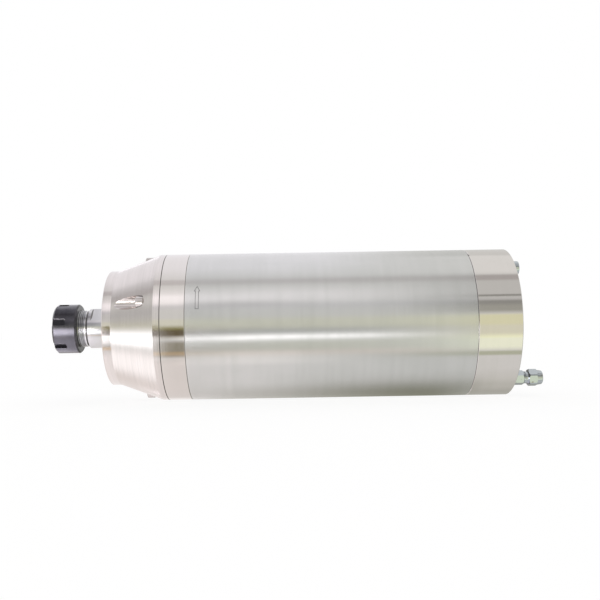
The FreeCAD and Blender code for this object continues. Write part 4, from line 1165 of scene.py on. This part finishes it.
@dataclass(frozen=True)
class Fittings:
    """The threads on the water inlet's stem and on the power socket's barrel."""

    stem: Thread = Thread(
        "inlet_stem_thread",
        start=0.3966,
        end=0.3979,
        root=0.005,
        crest=0.00532,
        pitch=0.00085,
        body=Body.HOUSING,
        slot=Slot.PLATED,
        steps=40,
    )
    barrel: Thread = Thread(
        "socket_barrel_thread",
        start=0.3886,
        end=0.3978,
        root=0.010,
        crest=0.01042,
        pitch=0.001,
        body=Body.HOUSING,
        slot=Slot.SHELL,
    )

    def build(self, finishes: Finishes) -> None:
        """Winds both threads, the stem's round the middle of the inlet's body.

        Args:
            finishes: where their finishes come from.
        """
        low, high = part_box("inlet_body")
        middle = (low + high) / 2
        replace(self.stem, centre=(middle.y, middle.z)).build(finishes)
        self.barrel.build(finishes)


@dataclass(frozen=True)
class Panel:
    """One bright or dark stretch of the light tent, a band along X seen from the object.

    Angles are in degrees about X, from straight in front towards straight up. The light is
    what the panel adds to the tent or, where it is a dark card, takes from it.
    """

    name: str
    low: float
    high: float
    soft: float
    light: Colour
    left: float = -2.0
    right: float = 2.0
    side_soft: float = 0.03


@dataclass
class Studio:
    """A white tent of long soft panels, a pale floor and the camera."""

    base: Colour = (0.72, 0.72, 0.7)
    floor_z: float = -0.06252
    floor_half: float = 6.0
    floor_glow: float = 0.8
    paper: Colour = (0.97, 0.97, 0.97)
    paper_lift: float = 1.07
    camera_place: Vector = field(default_factory=lambda: Vector((0.197, -0.7, 0.0)))
    lens: float = 48.54
    roll: float = 0.95
    middle_px: tuple[float, float] = (286.0, 325.4)
    image_px: float = 600.0
    panels: tuple[Panel, ...] = (
        Panel("ceiling", 85, 180, 50, (0.22, 0.21, 0.26), right=0.1, side_soft=0.15),
        Panel("far ceiling", 82, 180, 8, (0.1, 0.1, 0.1), left=0.1, side_soft=0.4),
        Panel("gap in the ceiling", 68, 78, 5, (-0.13, -0.15, -0.14)),
        Panel("window", 38, 54, 36, (0.44, 0.4, 0.44), -0.5, 0.12, 0.2),
        Panel("window frame", 27, 35, 8, (-0.08, -0.08, -0.06)),
        Panel("far wall", 17, 79, 4, (-0.13, -0.13, -0.13), left=0.21),
        Panel("far shelf", 14, 34, 5, (-0.2, -0.2, -0.22), left=0.21),
        Panel("far shelf edge", 40, 43, 2, (-0.3, -0.3, -0.3), left=0.21),
        Panel("far pale strip", -24, 12, 4, (0.05, 0.04, -0.09), left=0.21),
        Panel("far lamp", -42, -20, 10, (0.26, 0.3, 0.12), left=0.21),
        Panel("far lamp edge", -52, -45, 3, (-0.22, -0.2, -0.29), left=0.16),
        Panel("far side", 0, 16, 8, (0.07, 0.07, 0.07), 0.14, 0.21, 0.06),
        Panel("yellow strip", -4, 12, 6, (0.02, 0.02, -0.07)),
        Panel("shade under it", -12, -4, 5, (-0.24, -0.23, -0.22), -0.1, 0.12, 0.1),
        Panel("strip lamp", -20, -14, 4, (1.12, 1.1, 1.12), -0.11, 0.13, 0.12),
        Panel("near strip", -23, -15, 4, (0.4, 0.4, 0.4), -0.11, -0.02, 0.04),
        Panel("warm strip", -38, -23, 6, (-0.04, -0.03, -0.09), -0.08, 0.14, 0.1),
        Panel("warm edge", -46, -38, 4, (0.06, 0.0, -0.03), -0.11, 0.2),
        Panel("near glow", -60, -40, 8, (0.22, 0.2, 0.19), -0.12, 0.02, 0.06),
        Panel("near window frame", 31, 39, 5, (-0.24, -0.24, -0.24), -0.11, -0.01, 0.06),
        Panel("bright window", 34, 50, 8, (0.16, 0.15, 0.16), -0.25, -0.12, 0.01),
        Panel("dark card", -47, 1, 7, (-0.42, -0.44, -0.48), -0.156, -0.11, 0.008),
        Panel("core of the card", -14, -3, 6, (-0.16, -0.17, -0.16), -0.165, -0.11),
        Panel("glint in the card", -23, -17, 6, (0.22, 0.24, 0.27), -0.156, -0.11),
        Panel("shade past the card", -150, -48, 10, (-0.15, -0.16, -0.17), -0.156, -0.11),
        Panel("rear land lamp", -53, -13, 6, (0.26, 0.26, 0.28), -0.178, -0.158, 0.008),
        Panel("orange edge", -44, -38, 4, (0.12, 0.05, -0.02), -0.3, -0.11),
        Panel("front card", -14, 4, 5, (-0.66, -0.68, -0.7), -0.226, -0.17, 0.01),
        Panel("front lamp", -30, -13, 6, (0.45, 0.47, 0.5), -0.225, -0.18, 0.01),
        Panel("front edge", -44, -36, 5, (-0.1, -0.16, -0.22), -0.24, -0.17),
        Panel("cone lamp", -40, -9, 14, (1.0, 1.05, 1.1), -1.0, -0.4, 0.1),
        Panel("card before the cone", 0, 46, 8, (-0.14, -0.14, -0.14), -1.0, -0.4, 0.1),
        Panel("card over the cone", 64, 95, 12, (-0.2, -0.2, -0.2), -1.0, -0.4, 0.1),
        Panel("card under the cone", -180, -112, 20, (-0.12, -0.13, -0.15), -1.0, -0.3, 0.1),
        Panel("lower cone lamp", -100, -55, 25, (0.3, 0.32, 0.33), -1.0, -0.4, 0.1),
        Panel("pale floor", -180, -50, 25, (0.28, 0.24, 0.25), right=-0.03, side_soft=0.4),
        Panel("far floor", -180, -95, 45, (-0.26, -0.26, -0.28), left=0.05, side_soft=0.3),
        Panel("shade below", -180, -114, 40, (-0.2, -0.2, -0.22), -0.1, 0.2, 0.06),
        Panel("glow past the cap", -130, -92, 24, (0.1, 0.1, 0.1), left=0.23),
        Panel("far ceiling shade", 128, 175, 10, (-0.13, -0.13, -0.13), left=0.15, side_soft=0.2),
        Panel("shaft card", 15, 105, 20, (-0.3, -0.3, -0.27), -0.25, -0.226, 0.006),
        Panel("shaft lamp", -20, -14, 4, (0.9, 0.9, 0.9), -0.25, -0.226, 0.006),
        Panel("low shaft card", -160, -34, 10, (-0.16, -0.16, -0.16), -0.25, -0.226, 0.006),
        Panel("nut lamp", -28, 1, 18, (8.6, 8.3, 8.9), -0.4, -0.25, 0.008),
        Panel("low nut lamp", -138, -30, 14, (1.7, 1.62, 1.85), -0.38, -0.25, 0.008),
        Panel("nut ceiling", 112, 172, 12, (0.45, 0.45, 0.48), -0.3, -0.25, 0.008),
        Panel("nut card", 16, 106, 18, (-0.56, -0.56, -0.52), -0.4, -0.25, 0.008),
    )

    def light(self) -> None:
        """Builds the world: the tent lights the object, and the camera sees plain white.

        A panel's share is 1 where a direction's angle about X and its X lie in the panel's
        ranges, and the tent is the base colour plus the sum of all panels' light times share.
        """
        world = bpy.data.worlds.new("tent")
        bpy.context.scene.world = world
        world.use_nodes = True
        graph = Graph(world.node_tree)
        direction = graph.node("ShaderNodeTexCoord", output="Generated")
        x, y, z = graph.axes(direction)
        angle = z.angle_to(-y) * math.degrees(1.0)
        tent = graph.vector(*self.base)
        for panel in self.panels:
            share = graph.band(angle, panel.low, panel.high, panel.soft)
            if panel.left > -1.0 or panel.right < 1.0:
                share = share * graph.band(x, panel.left, panel.right, panel.side_soft)
            tent = graph.added(tent, graph.tinted(panel.light, share))
        lit = graph.node("ShaderNodeBackground", inputs={"Color": tent})
        seen = graph.node("ShaderNodeBackground", inputs={"Color": WHITE})
        camera_ray = graph.node("ShaderNodeLightPath", output="Is Camera Ray")
        mixed = graph.node("ShaderNodeMixShader", inputs={0: camera_ray, 1: lit, 2: seen})
        graph.node("ShaderNodeOutputWorld", inputs={"Surface": mixed})

    def floor(self) -> None:
        """Lays the floor: white paper that keeps a faint shadow of the object."""
        half = self.floor_half
        centre = self.camera_place.x
        corners = [
            (centre + i * half, j * half, self.floor_z)
            for i, j in ((-1, -1), (1, -1), (1, 1), (-1, 1))
        ]
        mesh = bpy.data.meshes.new("floor")
        mesh.from_pydata(corners, [], [(0, 1, 2, 3)])
        floor = bpy.data.objects.new("floor", mesh)
        bpy.context.scene.collection.objects.link(floor)
        made = bpy.data.materials.new("white_paper")
        made.use_nodes = True
        graph = Graph(made.node_tree)
        fibre = graph.noise(graph.point(), scale=800.0, detail=3.0)
        colour = graph.blend(fibre, self.paper, WHITE)
        paper = graph.node("ShaderNodeBsdfDiffuse", inputs={"Color": colour})
        glow = graph.node(
            "ShaderNodeEmission", inputs={"Color": WHITE, "Strength": self.paper_lift}
        )
        camera_ray = graph.node("ShaderNodeLightPath", output="Is Camera Ray")
        mixed = graph.node(
            "ShaderNodeMixShader",
            inputs={0: camera_ray * self.floor_glow, 1: paper, 2: glow},
        )
        graph.node("ShaderNodeOutputMaterial", inputs={"Surface": mixed})
        mesh.materials.append(made)
        floor.visible_glossy = False

    def camera(self) -> None:
        """Sets the camera up as it stood for the photograph."""
        data = bpy.data.cameras.new("camera")
        data.lens = self.lens
        half = self.image_px / 2
        data.shift_x = (half - self.middle_px[0]) / self.image_px
        data.shift_y = (self.middle_px[1] - half) / self.image_px
        camera = bpy.data.objects.new("camera", data)
        camera.location = self.camera_place
        camera.rotation_euler = (math.pi / 2, math.radians(self.roll), 0.0)
        bpy.context.scene.collection.objects.link(camera)
        bpy.context.scene.camera = camera

    def build(self) -> None:
        """Builds light, floor and camera."""
        view = bpy.context.scene.view_settings
        view.view_transform = "Standard"
        self.light()
        self.floor()
        self.camera()
        LOG.info("studio ready")


def main() -> None:
    """Dresses the frame and adds the new pieces and the studio."""
    logging.basicConfig(level=logging.INFO, format="%(name)s: %(message)s")
    finishes = Finishes()
    finishes.dress_frame()
    Shaft().build(finishes)
    Fittings().build(finishes)
    TurningArrow().build()
    Studio().build()


if __name__ == "__main__":
    main()
